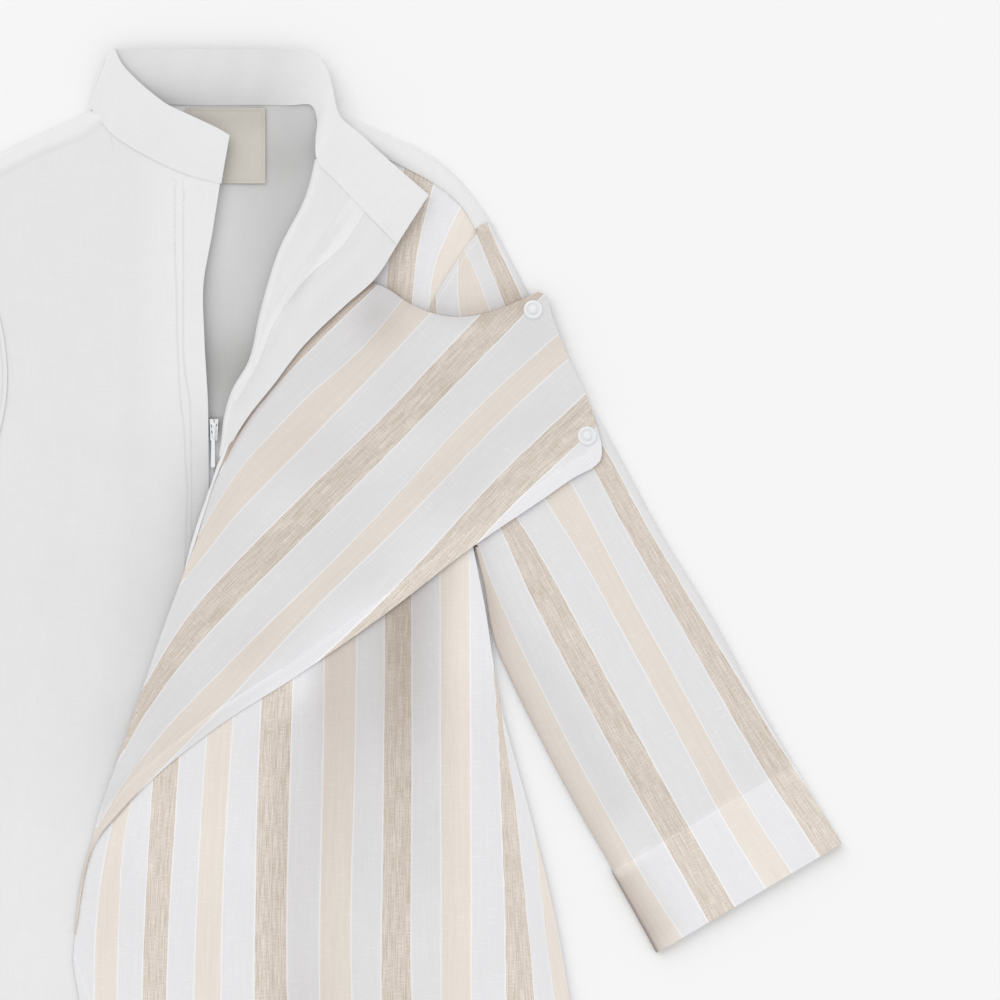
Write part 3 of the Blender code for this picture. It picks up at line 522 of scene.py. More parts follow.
def sleeveHeight(x, y):
    # x is the left sleeve's
    down = ((x - 158) * warpRuns["sleeve"][0] + (y - 250) * warpRuns["sleeve"][1]) / 400
    full = 1.6 * softStep((down - 0.18) / 0.4)
    return levels["outer"] + full + foldLift(x, y, creases["sleeve"]) + 0.4 * drift(x, y, 5.3, 70)


def flapHeight(x, y):
    gap = gapFrom(x, y, foldEdges["wrapFold"])
    beyond = softStep((x - 118) / 20)
    lapped = gapFrom(x, y, body["armhole"])
    under = wrapHeight(x, y) * (1 - beyond) + np.maximum(sleeveHeight(x, y), wrapHeight(x, y)) * beyond
    under = under + 1.1 * falloff(lapped, 8)
    settled = levels["flap"] + foldLift(x, y, creases["flap"]) + 0.5 * drift(x, y, 4.4, 80)
    settled = softMax(settled, under + 1.3)
    raised = levels["foldTop"] * falloff(gap, 26, 1.5) + settled * (1 - falloff(gap, 26, 1.5))
    return softMax(raised, settled, 0.4)


def lapelHeight(x, y):
    gap = gapFrom(x, y, foldEdges["lapelEdge"])
    down = 0.9 * falloff(gap, 10)
    return levels["lapel"] - down + foldLift(x, y, creases["lapel"]) + 0.4 * drift(x, y, 2.2, 40)


# Cloth from rows of places


def addGrid(bm, places, cloth, shade=None, seamA=None, seamB=None, seamC=None):
    # a grid whose corners are moved to the places, with the cloth's own position as its UV map. The seams are
    # distances from up to three lines of stitching, which the material draws as grooves
    # the shade values are painted shade, from 0 for none, which the material mixes into the colour
    rows, columns = places.shape[:2]
    uvLayer = bm.loops.layers.uv.get("cloth") or bm.loops.layers.uv.new("cloth")
    values = {"shade": (shade, 0.0), "seamA": (seamA, 9.0), "seamB": (seamB, 9.0), "seamC": (seamC, 9.0)}
    for name in values:
        if bm.verts.layers.float.get(name) is None:
            bm.verts.layers.float.new(name)
    layers = {name: bm.verts.layers.float.get(name) for name in values}  # a new layer makes those before it stale
    made = bmesh.ops.create_grid(bm, x_segments=columns - 1, y_segments=rows - 1, size=1.0)["verts"]
    onCloth = {}
    for vert in made:
        i = round((vert.co.x + 1) / 2 * (columns - 1))
        j = round((vert.co.y + 1) / 2 * (rows - 1))
        vert.co = Vector(places[j, i]) * mm
        for name, (field, plain) in values.items():
            vert[layers[name]] = plain if field is None else float(field[j, i])
        onCloth[vert] = cloth[j, i] * mm
    for face in {face for vert in made for face in vert.link_faces}:
        for loop in face.loops:
            loop[uvLayer].uv = onCloth[loop.vert]


def finishPiece(name, bm, material, thickness=None, sharp=50):
    bmesh.ops.remove_doubles(bm, verts=bm.verts, dist=weld)
    bmesh.ops.recalc_face_normals(bm, faces=bm.faces)
    mesh = bpy.data.meshes.new(name)
    bm.to_mesh(mesh)
    bm.free()
    mesh.materials.append(material)
    piece = bpy.data.objects.new(name, mesh)
    bpy.context.scene.collection.objects.link(piece)
    if thickness:
        wall = piece.modifiers.new("Wall", "SOLIDIFY")
        wall.thickness = thickness * mm
        wall.offset = 0.0
        view = bpy.context.evaluated_depsgraph_get()
        piece.data = bpy.data.meshes.new_from_object(piece.evaluated_get(view))
        piece.modifiers.clear()
        bpy.data.meshes.remove(mesh)
        piece.data.name = name
    piece.data.shade_smooth()
    piece.data.set_sharp_from_angle(angle=math.radians(sharp))
    return piece


def placeShape(bm, made, size, centre, turn=0.0):
    # a new shape, one unit across: given its size in mm, turned about z and moved to its centre
    bmesh.ops.scale(bm, verts=made, vec=Vector(size) * mm)
    bmesh.ops.rotate(bm, verts=made, cent=(0, 0, 0), matrix=Matrix.Rotation(turn, 3, "Z"))
    bmesh.ops.translate(bm, verts=made, vec=Vector(centre) * mm)


def roundEdges(bm, edges, width, segments):
    bmesh.ops.bevel(
        bm, geom=edges, offset=width * mm, affect="EDGES", segments=segments, profile=0.5, material=-1
    )


def withHeight(flat, height):
    x, y = flat[..., 0], flat[..., 1]
    z = height(x, y) if callable(height) else np.full(x.shape, float(height))
    return np.concatenate([flat[..., :2], z[..., None]], axis=-1)


def rollOver(outline, start, low, high, steps):
    # rows round a fold, from the cloth below to the cloth above, bulging out to the outline
    angle = np.linspace(0, math.pi, steps + 1)[None, :, None]
    flat = start[:, None] + (outline - start)[:, None] * np.sin(angle)
    low, high = low[:, None, None], high[:, None, None]
    z = (low + high) / 2 - (high - low) / 2 * np.cos(angle)
    return np.concatenate([flat, z], axis=-1)


def mirrored(places):
    return places * np.array([-1, 1, 1][: places.shape[-1]])


# Materials. Colours are sRGB hex values, and a cloth's patterns are sized in millimetres on its own UV map.


def toLinear(hexColour):
    parts = [int(hexColour[i : i + 2], 16) / 255 for i in (1, 3, 5)]
    return [c / 12.92 if c <= 0.04045 else ((c + 0.055) / 1.055) ** 2.4 for c in parts] + [1.0]


def addNode(tree, kind, links=None, output=0, **settings):
    # adds a node with its settings and links, and gives back one of its outputs
    node = tree.nodes.new(kind)
    for key, value in settings.items():
        setattr(node, key, value)
    for socket, source in (links or {}).items():
        target = node.inputs[socket]
        if isinstance(source, bpy.types.NodeSocket):
            tree.links.new(source, target)
        else:
            target.default_value = source
    return node.outputs[output]


def newMaterial(name, roughness, **fixed):
    material = bpy.data.materials.new(name)
    material.use_nodes = True
    shader = material.node_tree.nodes["Principled BSDF"]
    shader.inputs["Roughness"].default_value = roughness
    for socket, value in fixed.items():
        shader.inputs[socket.replace("_", " ")].default_value = value
    return material, material.node_tree, shader


def unevenMarks(tree, coordinates, *sizes):
    # threads, slubs and mottling. Each size is the marks' length in mm across and along the cloth, and their detail
    made = []
    for across, along, detail in sizes:
        scale = (1000 / across, 1000 / along, 1)
        stretched = addNode(tree, "ShaderNodeMapping", {"Vector": coordinates, "Scale": scale})
        links = {"Vector": stretched, "Scale": 1.0, "Detail": detail, "Roughness": 0.6}
        made.append(addNode(tree, "ShaderNodeTexNoise", links, noise_dimensions="2D"))
    return made


def grooves(tree):
    # 1 along a line of stitching, 0 a little way off it
    deepest = 0.0
    for name in ("seamA", "seamB", "seamC"):
        gap = addNode(tree, "ShaderNodeAttribute", output="Fac", attribute_type="GEOMETRY", attribute_name=name)
        away = addNode(tree, "ShaderNodeMath", {0: gap}, operation="ABSOLUTE")
        reach = {"Value": away, "From Min": 0.15, "From Max": 1.0, "To Min": 1.0, "To Max": 0.0}
        near = addNode(tree, "ShaderNodeMapRange", reach, interpolation_type="SMOOTHSTEP")
        deepest = addNode(tree, "ShaderNodeMath", {0: deepest, 1: near}, operation="MAXIMUM")
    return deepest


def inShade(tree, colour, shadowHex):
    # painted shade: the colour is darkened towards a shadow colour where the piece's own "shade" values say, in
    # place of light that would not reach there
    shade = addNode(tree, "ShaderNodeAttribute", output="Fac", attribute_type="GEOMETRY", attribute_name="shade")
    links = {"Factor": shade, "A": colour, "B": toLinear(shadowHex)}
    return addNode(tree, "ShaderNodeMix", links, "Result", data_type="RGBA", blend_type="MULTIPLY")


def colourAndBump(tree, shader, colour, tone, height=None, strength=0.3, depth=0.0002, shadow=None):
    # the colour times its tone, darker where it lies in shade, and the surface's relief, depth in metres
    toned = addNode(tree, "ShaderNodeVectorMath", {"Vector": colour, "Scale": tone}, operation="SCALE")
    if shadow:
        toned = inShade(tree, toned, shadow)
    tree.links.new(toned, shader.inputs["Base Color"])
    if height is not None:
        bump = addNode(tree, "ShaderNodeBump", {"Height": height, "Strength": strength, "Distance": depth})
        tree.links.new(bump, shader.inputs["Normal"])


# Cotton poplin, mercerised, woven and pressed: close and smooth, with a faint sheen and hardly any visible weave.
# Real threads are 0.2 mm apart. They are drawn 1.1 mm apart so that they show at all.
poplin = {
    "colour": "#E7E7E8",
    "shadow": "#ABAAA7",
    "warp": (1.1, 22.0, 1.0),
    "weft": (18.0, 1.1, 1.0),
    "mottle": (14.0, 30.8, 3.0),
    "weaveTone": 0.035,
    "mottleTone": 0.03,
    "seamTone": -0.09,
    "roughness": 0.78,
}


def makePoplin():
    sheen = {"Sheen_Weight": 0.06, "Sheen_Roughness": 0.5}
    material, tree, shader = newMaterial("cottonPoplinPressed", poplin["roughness"], IOR=1.4, **sheen)
    uv = addNode(tree, "ShaderNodeUVMap", uv_map="cloth")
    warp, weft, mottle = unevenMarks(tree, uv, poplin["warp"], poplin["weft"], poplin["mottle"])
    weave = addNode(tree, "ShaderNodeMath", {0: warp, 1: weft}, operation="ADD")
    sewn = grooves(tree)
    tone = 1.0
    for field, strength, plain in (
        (weave, poplin["weaveTone"], 0.965),
        (mottle, poplin["mottleTone"], 0.985),
        (sewn, poplin["seamTone"], 1.0),
    ):
        part = addNode(tree, "ShaderNodeMath", {0: field, 1: strength, 2: plain}, operation="MULTIPLY_ADD")
        tone = addNode(tree, "ShaderNodeMath", {0: tone, 1: part}, operation="MULTIPLY")
    height = addNode(tree, "ShaderNodeMath", {0: mottle, 1: 2.0, 2: weave}, operation="MULTIPLY_ADD")
    height = addNode(tree, "ShaderNodeMath", {0: sewn, 1: -2.5, 2: height}, operation="MULTIPLY_ADD")
    colourAndBump(tree, shader, toLinear(poplin["colour"])[:3], tone, height, 0.3, 0.00014, poplin["shadow"])
    return material


# Yarn-dyed linen, plain woven from slubby yarn: tan, white and cream bands with a white cord at each border.
# Real threads are 0.55 mm apart. They are drawn 0.65 mm apart so that the streaks show.
linen = {
    "tan": "#D9CEC3",
    "tanDark": "#CEC1B3",
    "tanLight": "#E8E0D7",
    "cream": "#EAE2D9",
    "white": "#E8E8EA",
    "border": "#F3F3F4",
    "shadow": "#AFA49F",
    "cord": 0.9,
    "warp": (0.65, 16.0, 1.0),
    "weft": (6.0, 0.65, 1.0),
    "grain": (0.5, 0.7, 0.0),
    "slubs": (2.6, 60.0, 2.0),
    "brightSlubs": (9.0, 1.0, 0.0),
    "wander": (60.0, 9.0, 1.0),
    "weaveTone": 0.13,
    "brightTone": 0.04,
    "seamTone": 0.05,
    "dyedBelow": 0.76,
    "roughness": 0.9,
}


def makeLinen():
    sheen = {"Sheen_Weight": 0.08, "Sheen_Roughness": 0.6}
    material, tree, shader = newMaterial("stripedLinenWoven", linen["roughness"], IOR=1.4, **sheen)
    uv = addNode(tree, "ShaderNodeUVMap", uv_map="cloth")
    names = ("wander", "warp", "weft", "grain", "slubs", "brightSlubs")
    wander, warp, weft, grain, slubs, brightSlubs = unevenMarks(tree, uv, *(linen[name] for name in names))
    # a thread's sideways wander, 0.2 mm each way, keeps the band edges from being ruled lines
    across = addNode(tree, "ShaderNodeSeparateXYZ", {"Vector": uv})
    moved = addNode(tree, "ShaderNodeMath", {0: wander, 1: 0.0004, 2: -0.0002}, operation="MULTIPLY_ADD")
    across = addNode(tree, "ShaderNodeMath", {0: across, 1: moved}, operation="ADD")
    counted = {0: across, 1: 1000 / repeatLength, 2: 50 + bandHalf}
    repeat = addNode(tree, "ShaderNodeMath", counted, operation="MULTIPLY_ADD")
    place = addNode(tree, "ShaderNodeMath", {0: repeat}, operation="FRACT")
    bands = addNode(tree, "ShaderNodeValToRGB", {"Fac": place})
    border = linen["cord"] / repeatLength
    stops = [
        (0.0, "tan"),
        (2 * bandHalf, "border"),
        (2 * bandHalf + border, "white"),
        (0.5 - border, "border"),
        (0.5, "cream"),
        (0.5 + 2 * bandHalf, "border"),
        (0.5 + 2 * bandHalf + border, "white"),
        (1 - border, "border"),
    ]
    bands.node.color_ramp.interpolation = "CONSTANT"
    elements = bands.node.color_ramp.elements
    while len(elements) < len(stops):
        elements.new(0.5)
    for element, (position, name) in zip(elements, stops):
        element.position = position
        element.color = toLinear(linen[name])
    weave = addNode(tree, "ShaderNodeMath", {0: weft, 1: 0.25}, operation="MULTIPLY")
    for marks, share in ((warp, 0.5), (grain, 0.25)):
        weave = addNode(tree, "ShaderNodeMath", {0: marks, 1: share, 2: weave}, operation="MULTIPLY_ADD")
    # tan yarn is heathered: brown and near-white fibres twisted together
    flecked = addNode(tree, "ShaderNodeMath", {0: slubs, 1: 0.1, 2: weave}, operation="MULTIPLY_ADD")
    reach = {"Value": flecked, "From Min": 0.36, "From Max": 0.74}
    fleck = addNode(tree, "ShaderNodeMapRange", reach, interpolation_type="SMOOTHSTEP")
    yarns = {"Factor": fleck, "A": toLinear(linen["tanDark"]), "B": toLinear(linen["tanLight"])}
    heather = addNode(tree, "ShaderNodeMix", yarns, "Result", data_type="RGBA", blend_type="MIX")
    # the bands are told apart by how much red and blue they hold
    red = addNode(tree, "ShaderNodeSeparateColor", {"Color": bands})
    isTan, isDyed = (
        addNode(tree, "ShaderNodeMath", {0: red.node.outputs[k], 1: linen["dyedBelow"]}, operation="LESS_THAN")
        for k in (0, 2)
    )
    choice = {"Factor": isTan, "A": bands, "B": heather}
    dyed = addNode(tree, "ShaderNodeMix", choice, "Result", data_type="RGBA", blend_type="MIX")
    # cream bands fade along the warp; white ones are even, with short bright slubs of weft
    uneven = addNode(tree, "ShaderNodeMath", {0: slubs, 1: 0.5}, operation="SUBTRACT")
    fading = addNode(tree, "ShaderNodeMath", {0: isDyed, 1: 0.05, 2: 0.05}, operation="MULTIPLY_ADD")
    tone = addNode(tree, "ShaderNodeMath", {0: uneven, 1: fading, 2: 1.0}, operation="MULTIPLY_ADD")
    woven = addNode(tree, "ShaderNodeMath", {0: weave, 1: 0.5}, operation="SUBTRACT")
    reach = {"Value": brightSlubs, "From Min": 0.7, "From Max": 0.82}
    bright = addNode(tree, "ShaderNodeMapRange", reach, interpolation_type="SMOOTHSTEP")
    for field, strength in ((woven, linen["weaveTone"]), (bright, linen["brightTone"])):
        tone = addNode(tree, "ShaderNodeMath", {0: field, 1: strength, 2: tone}, operation="MULTIPLY_ADD")
    sewn = grooves(tree)
    raised = addNode(tree, "ShaderNodeMath", {0: sewn, 1: linen["seamTone"], 2: 1.0}, operation="MULTIPLY_ADD")
    tone = addNode(tree, "ShaderNodeMath", {0: tone, 1: raised}, operation="MULTIPLY")
    height = addNode(tree, "ShaderNodeMath", {0: sewn, 1: -2.5, 2: weave}, operation="MULTIPLY_ADD")
    colourAndBump(tree, shader, dyed, tone, height, 0.35, 0.00018, linen["shadow"])
    return material


# Cotton twill label tape, unbleached and closely woven: matt, warm grey, with fine slanting ribs.
# Real ribs are 0.7 mm apart. They are drawn 1.4 mm apart so that they show.
twill = {
    "colour": "#D6D2C9",
    "shadow": "#A5A29C",
    "ribs": (1.4, 12.0, 1.0),
    "specks": (1.0, 1.0, 2.0),
    "ribAngle": 35,
    "seamTone": -0.06,
    "roughness": 0.9,
}


def makeLabelTwill():
    material, tree, shader = newMaterial("cottonTwillLabel", twill["roughness"], IOR=1.5)
    uv = addNode(tree, "ShaderNodeUVMap", uv_map="cloth")
    turn = (0, 0, math.radians(twill["ribAngle"]))
    turned = addNode(tree, "ShaderNodeMapping", {"Vector": uv, "Rotation": turn})
    ribs = unevenMarks(tree, turned, twill["ribs"])[0]
    specks = unevenMarks(tree, uv, twill["specks"])[0]
    weave = addNode(tree, "ShaderNodeMath", {0: ribs, 1: specks}, operation="ADD")
    tone = addNode(tree, "ShaderNodeMath", {0: weave, 1: 0.07, 2: 0.93}, operation="MULTIPLY_ADD")
    sewn = grooves(tree)
    pressed = addNode(tree, "ShaderNodeMath", {0: sewn, 1: twill["seamTone"], 2: 1.0}, operation="MULTIPLY_ADD")
    tone = addNode(tree, "ShaderNodeMath", {0: tone, 1: pressed}, operation="MULTIPLY")
    colourAndBump(tree, shader, toLinear(twill["colour"])[:3], tone, weave, 0.35, 0.0002, twill["shadow"])
    return material


# Polyester zip tape, woven in a herringbone: white, flat and slightly glossier than the cotton round it.
zipTape = {"colour": "#E8E8E9", "ribs": (1.2, 3.0, 1.0), "roughness": 0.6}


def makeZipTape():
    material, tree, shader = newMaterial("polyesterZipTape", zipTape["roughness"], IOR=1.5, Sheen_Weight=0.1)
    uv = addNode(tree, "ShaderNodeUVMap", uv_map="cloth")
    ribs = unevenMarks(tree, uv, zipTape["ribs"])[0]
    tone = addNode(tree, "ShaderNodeMath", {0: ribs, 1: 0.08, 2: 0.94}, operation="MULTIPLY_ADD")
    colourAndBump(tree, shader, toLinear(zipTape["colour"])[:3], tone, ribs, 0.3, 0.0002)
    return material


# Acetal, injection moulded: milky white, slightly see-through, with the soft gloss of a polished mould.
# Its flow marks are about 2.4 mm across, 420 to a metre.
# The second colour here is no acetal's own: it is painted shadow, for the dark insides of the slider's openings.
moulded = {"white": "#E9EAEC", "slotShadowColour": "#7C7C78", "flowScale": 420.0, "roughness": 0.4}


def makeAcetal(name, hexColour):
    material, tree, shader = newMaterial(name, moulded["roughness"], IOR=1.48, Coat_Weight=0.1)
    place = addNode(tree, "ShaderNodeTexCoord", output="Object")
    flow = addNode(tree, "ShaderNodeTexNoise", {"Vector": place, "Scale": moulded["flowScale"], "Detail": 2.0})
    tone = addNode(tree, "ShaderNodeMath", {0: flow, 1: 0.05, 2: 0.97}, operation="MULTIPLY_ADD")
    colourAndBump(tree, shader, toLinear(hexColour)[:3], tone, flow, 0.1, 0.0001)
    return material


# Polyester sewing thread, spun and dyed: white with a slight lustre, its plies about 0.4 mm apart, 2600 to a metre.
thread = {"colour": "#F0F0F2", "plyScale": 2600.0, "roughness": 0.55}


def makeThread():
    material, tree, shader = newMaterial("sewingThreadWhite", thread["roughness"], IOR=1.5, Sheen_Weight=0.2)
    place = addNode(tree, "ShaderNodeTexCoord", output="Object")
    ply = addNode(tree, "ShaderNodeTexNoise", {"Vector": place, "Scale": thread["plyScale"]})
    tone = addNode(tree, "ShaderNodeMath", {0: ply, 1: 0.16, 2: 0.92}, operation="MULTIPLY_ADD")
    colourAndBump(tree, shader, toLinear(thread["colour"])[:3], tone)
    return material


poplinCloth = makePoplin()
linenCloth = makeLinen()
labelCloth = makeLabelTwill()
tapeCloth = makeZipTape()
acetal = makeAcetal("acetalMoulded", moulded["white"])
# painted shadow: the slider's openings are drawn dark with this colour, not lit dark
slotShadowPaint = makeAcetal("paintedSlotShadow", moulded["slotShadowColour"])
whiteThread = makeThread()
print("materials made")

# The back, white, with its shoulders turned over to the front

back = {"rows": 200, "shoulderColumns": 36, "neckColumns": 38}


def makeBack():
    outline = smoothCurve(body["shoulder"], back["shoulderColumns"])
    inward = -leftNormals(outline)
    start = outline + inward * (levels["shoulderRoll"] + 0.2)
    neckEnd = start[0]
    neck = smoothCurve([(-neckEnd[0], neckEnd[1]), *body["backNeck"], neckEnd], back["neckColumns"])
    top = np.vstack([mirrored(start[::-1]), neck[1:-1], start])
    armhole = armholeEdge()
    side = evenly(np.vstack([[start[-1]], armhole[1:], sideEdge(160)[1:]]), back["rows"])
    hem = hemEdge(side[-1] * (-1, 1), side[-1], len(top) - 1)
    flat = fillBetween(hem, top, mirrored(side)[::-1], side[::-1])
    places = withHeight(flat, levels["back"])
    x, y = flat[..., 0], flat[..., 1]
    # painted shade on the inside, which is seen only down the neck opening, where little light comes
    inOpening = softStep((y - 150) / 60) * softStep((x + 58) / 20) * softStep((95 - x) / 25)
    inOpening = inOpening * (1 - 0.45 * softStep((22 - x) / 24) * softStep((y - 300) / 40))
    deep = 0.36 + 0.14 * falloff(x - 42, 20) + 0.32 * falloff(y - 258, 24) + 0.12 * falloff(y - 384, 14)
    bm = bmesh.new()
    addGrid(bm, places, clothAt(x, y), inOpening * deep)
    low = np.full(len(outline), levels["back"])
    high = np.full(len(outline), levels["outer"] + 0.3)
    for sign, frontHeight in ((1, wrapHeight), (-1, rightHeight)):
        inner = [body["seamUnderCollar"]] if sign < 0 else []
        seam = smoothCurve([*inner, *body["shoulderSeam"]], back["shoulderColumns"])
        turned = rollOver(outline, start, low, high, 8)
        strip = []
        for share in np.linspace(0, 1, 10)[1:]:
            flatRow = start + (seam - leftNormals(seam) * 0.8 - start) * share
            over = frontHeight(sign * flatRow[:, 0], flatRow[:, 1]) + 0.95
            z = high + (over - high) * softStep(share) + math.sin(math.pi * min(share, 1.0))
            if sign < 0:
                z = z - 1.2 * softStep((share - 0.55) / 0.45)  # pressed flat into the front
            strip.append(np.column_stack([flatRow, z]))
        turned = np.concatenate([turned, np.stack(strip, axis=1)], axis=1)
        onCloth = clothAt(start[:, :1], start[:, 1:] + lengthsAlong(turned))
        addGrid(bm, turned if sign > 0 else mirrored(turned), onCloth)
    return finishPiece("backBody", bm, poplinCloth, body["clothThickness"])


backBody = makeBack()
print("back made")

# The right front, white, with the zip placket at its edge

rightPiece = {
    "rows": 226,
    "placketWidth": 18.0,
    "placketStitches": (
        [
            (-23.2, 368), (-23.1, 330), (-22.2, 312), (-21.6, 282), (-20.7, 258), (-19.8, 240), (-17.4, 222),
            (-16.8, 204), (-15.6, 186), (-16.2, 168), (-16.8, 144), (-18.6, 108), (-19, 60),
        ],
        [
            (-17.6, 366), (-18, 354), (-18, 270), (-16.8, 255), (-14, 240), (-13.5, 222), (-13.2, 204),
            (-13.2, 168), (-12.6, 144), (-12, 108), (-11.6, 60),
        ],
    ),
    "neckline": [(-60, 405), (-53.3, 398.2), (-41, 390.4), (-17.8, 379.8), (4.4, 372.4)],
}


def rightShade(x, y):
    # painted shade: the raised fold of the striped front keeps light off the cloth beside it
    gap, share, _ = nearLine(x, y, foldEdges["wrapFold"])
    along = softStep((share - 0.2) / 0.16) * softStep((0.92 - share) / 0.22)
    wide = 0.3 * falloff(gap, 27, 1.4) + 0.06 * falloff(gap, 6, 1.2)
    wide = wide * (1 - 0.55 * softStep((share - 0.5) / 0.15))
    wide = wide + 0.14 * falloff(gap, 17) * falloff(share - 0.41, 0.07)
    # and a faint painted shade over the middle of the front, clear of its placket
    placket = 0.07 * softStep((-x - 22) / 30) * softStep((240 + x) / 120) * softStep((y + 100) / 200)
    return along * wide + placket


def makeRightFront():
    shoulder = mirrored(smoothCurve([body["seamUnderCollar"], *body["shoulderSeam"]], 50))
    neck = smoothCurve(rightPiece["neckline"], 34)
    top = np.vstack([shoulder[::-1], neck])
    placket = fineCurve([(4.4, 371.8), *foldEdges["placket"][1:]])
    centre = [(-0.15, 52), (-0.15, -450)]
    right = evenly(np.vstack([placket, centre]), rightPiece["rows"])
    left = frontSide(-1, rightPiece["rows"])
    hem = hemEdge(left[-1], right[-1], len(top) - 1)
    flat = fillBetween(hem, top, left[::-1], right[::-1])
    x, y = flat[..., 0], flat[..., 1]
    places = withHeight(flat, rightHeight)
    # the placket is two cloths thick, with a groove along its stitching
    inside = right[::-1][:, None, 0] - x
    sewn = [signedGap(x, y, line) * (1 + 30 * softStep((62 - y) / 8)) for line in rightPiece["placketStitches"]]
    places[..., 2] += 0.5 * softStep((rightPiece["placketWidth"] - inside) / 1.5) * softStep((y + 20) / 30)
    # the doubled cloth pulls a little where it is sewn
    pull = 0.35 * drift(x * 2.2, y, 6.1, 26) * falloff(sewn[0], 9) * softStep((y - 60) / 60)
    places[..., 2] += pull
    fromHem = y - hem[None, :, 1]
    places[..., 2] += 0.4 * softStep((body["hemDepth"] - fromHem) / 2)
    bm = bmesh.new()
    addGrid(bm, places, clothAt(x, y), rightShade(x, y), *sewn, fromHem - body["hemDepth"] + 1.5)
    return finishPiece("rightFront", bm, poplinCloth, body["clothThickness"])


rightFront = makeRightFront()
print("right front made")

# The left front, white, its edge turned back like a lapel

leftPiece = {
    "columns": 76,
    "rows": 200,
    "rollRows": 56,
    "lapelColumns": 30,
    # y, how far the tail stands outside the fold, how far it reaches onto the flap
    "tail": [
        (134, -0.9, 0.2), (140, 0.3, 0.3), (147, 0.9, 0.35), (154, 1.3, 0.7), (164, 1.2, 1.0), (178, 0.3, 1.5),
        (190, 0.5, 0.8), (199, 1.5, 0.6), (214, 1.6, 0.2),
    ],
}


def makeLeftFront():
    rows = leftPiece["rollRows"]
    outline = smoothCurve(foldEdges["lapelRoll"], rows)
    inward = leftNormals(outline)
    # the roll narrows over its last rows, towards the slider
    taper = np.ones(rows + 1)
    taper[-8:] = np.linspace(1, 0.35, 8)
    start = outline + inward * (levels["lapelRoll"] * taper)[:, None]
    right = frontSide(1, leftPiece["rows"])
    below = [(2.9, 199), (2.7, 150), (2.7, 60), (0.15, 52), (0.15, -450)]
    left = np.vstack([evenly([body["shoulderSeam"][0], start[0]], 4)[:-1], start])
    left = np.vstack([left, evenly(np.vstack([start[-1:], below]), leftPiece["rows"] + 1 - len(left))[1:]])
    top = smoothCurve(body["shoulderSeam"], leftPiece["columns"])
    hem = hemEdge(left[-1], right[-1], leftPiece["columns"])
    flat = fillBetween(hem, top, left[::-1], right[::-1])
    bm = bmesh.new()
    addGrid(bm, withHeight(flat, innerHeight), clothAt(flat[..., 0], flat[..., 1]))
    low = innerHeight(start[:, 0], start[:, 1])
    high = lapelHeight(start[:, 0], start[:, 1])
    high = low + (high - low) * np.minimum(1, taper * 1.1)
    rolled = rollOver(outline, start, low, high, 12)
    addGrid(bm, rolled, clothAt(start[:, :1] - lengthsAlong(rolled), start[:, 1:]))
    edge = smoothCurve(foldEdges["lapelEdge"], rows)
    edge[-1] = start[-1]
    collarSide = evenly([start[0], edge[0]], leftPiece["lapelColumns"])
    lapelFlat = fillBetween(start, edge, collarSide, np.repeat(start[-1:], len(collarSide), axis=0))
    lapel = withHeight(lapelFlat, lapelHeight)
    lapel[..., 2] = low[None] + (lapel[..., 2] - low[None]) * np.minimum(1, taper * 1.1)[None]
    crease, along, _ = nearLine(lapelFlat[..., 0], lapelFlat[..., 1], creases["lapel"][-1][0])
    # painted shade over the lapel, deeper along its crease
    lapelShade = 0.07 + 0.2 * falloff(crease, 2.4) * softStep(along / 0.2) * softStep((1 - along) / 0.3)
    addGrid(bm, lapel, clothAt(lapelFlat[..., 0] * -1 + 120, lapelFlat[..., 1]), lapelShade)
    # below the slider the lapel runs on as a narrow turning over the edge of the fold
    fold = fineCurve(foldEdges["wrapFold"])
    tail = np.array(leftPiece["tail"])
    fold = evenly(fold[(fold[:, 1] < tail[-1, 0]) & (fold[:, 1] > tail[0, 0])], 60)
    inward = leftNormals(fold)
    share = np.linspace(0, 1, len(fold))[:, None]
    beyond, reach = (np.interp(fold[:, 1:], tail[:, 0], tail[:, k]) for k in (1, 2))
    onTop = fold + inward * reach
    crown = flapHeight(onTop[:, 0], onTop[:, 1])[:, None] + 0.75
    lowSide = levels["outer"] + 1.0 + 0.0 * crown
    turn = np.linspace(0, math.pi / 2, 7)[None]
    across = reach * np.sin(turn) ** 1.8 - beyond * np.clip(np.cos(turn), 0, 1) ** 0.6
    flatX = fold[:, :1] + inward[:, :1] * across
    flatY = fold[:, 1:] + inward[:, 1:] * across
    # the two ends sink out of sight
    sink = softStep((share - 0.04) / 0.2) * softStep((1 - share) / 0.3)
    tailZ = lowSide + (crown - lowSide) * np.sin(turn) ** 0.8 * (0.6 + 0.4 * sink)
    addGrid(bm, np.dstack([flatX, flatY, tailZ]), np.dstack([flatX * -1 + 120, flatY]))
    return finishPiece("leftFront", bm, poplinCloth, body["clothThickness"])


leftFront = makeLeftFront()
print("left front made")

# The striped wrap front, turned back on a diagonal fold

wrap = {
    "columns": 84,
    "foldRows": 118,
    "neckRows": 22,
    "freeRows": 92,
    "flapNeckColumns": 58,
    "flapShoulderColumns": 34,
    "hemBand": 8.5,
    "tipBelow": -19.0,
    "edgeHem": [
        (-84.4, -90), (-83, -95), (-81, -101), (-77.5, -110.4), (-74.2, -120), (-70, -150), (-62.5, -285),
        (-52.5, -449.8),
    ],
    "neckEdge": [(105, 306), (116.4, 298.2), (142.2, 289.8), (159.6, 291), (184.2, 300), (194, 304.6)],
    "shoulderEdge": [
        (194, 304.6), (196.4, 304.2), (203.4, 288.6), (213, 264), (223.2, 243), (229.6, 224), (232.6, 211),
        (232.6, 207),
    ],
    "freeEdge": [
        (232.6, 207), (231.6, 203.4), (228.4, 200.2), (217.2, 194.2), (198.6, 181.4), (156.6, 153),
        (102.6, 111.6), (48.6, 73.8), (3.6, 45), (-34.8, 14.4), (-47.4, 2), (-59.4, -11.5), (-66.2, -19),
        (-70.8, -26), (-74.6, -35), (-77.9, -48), (-80.1, -61.4), (-81.3, -70),
    ],
}


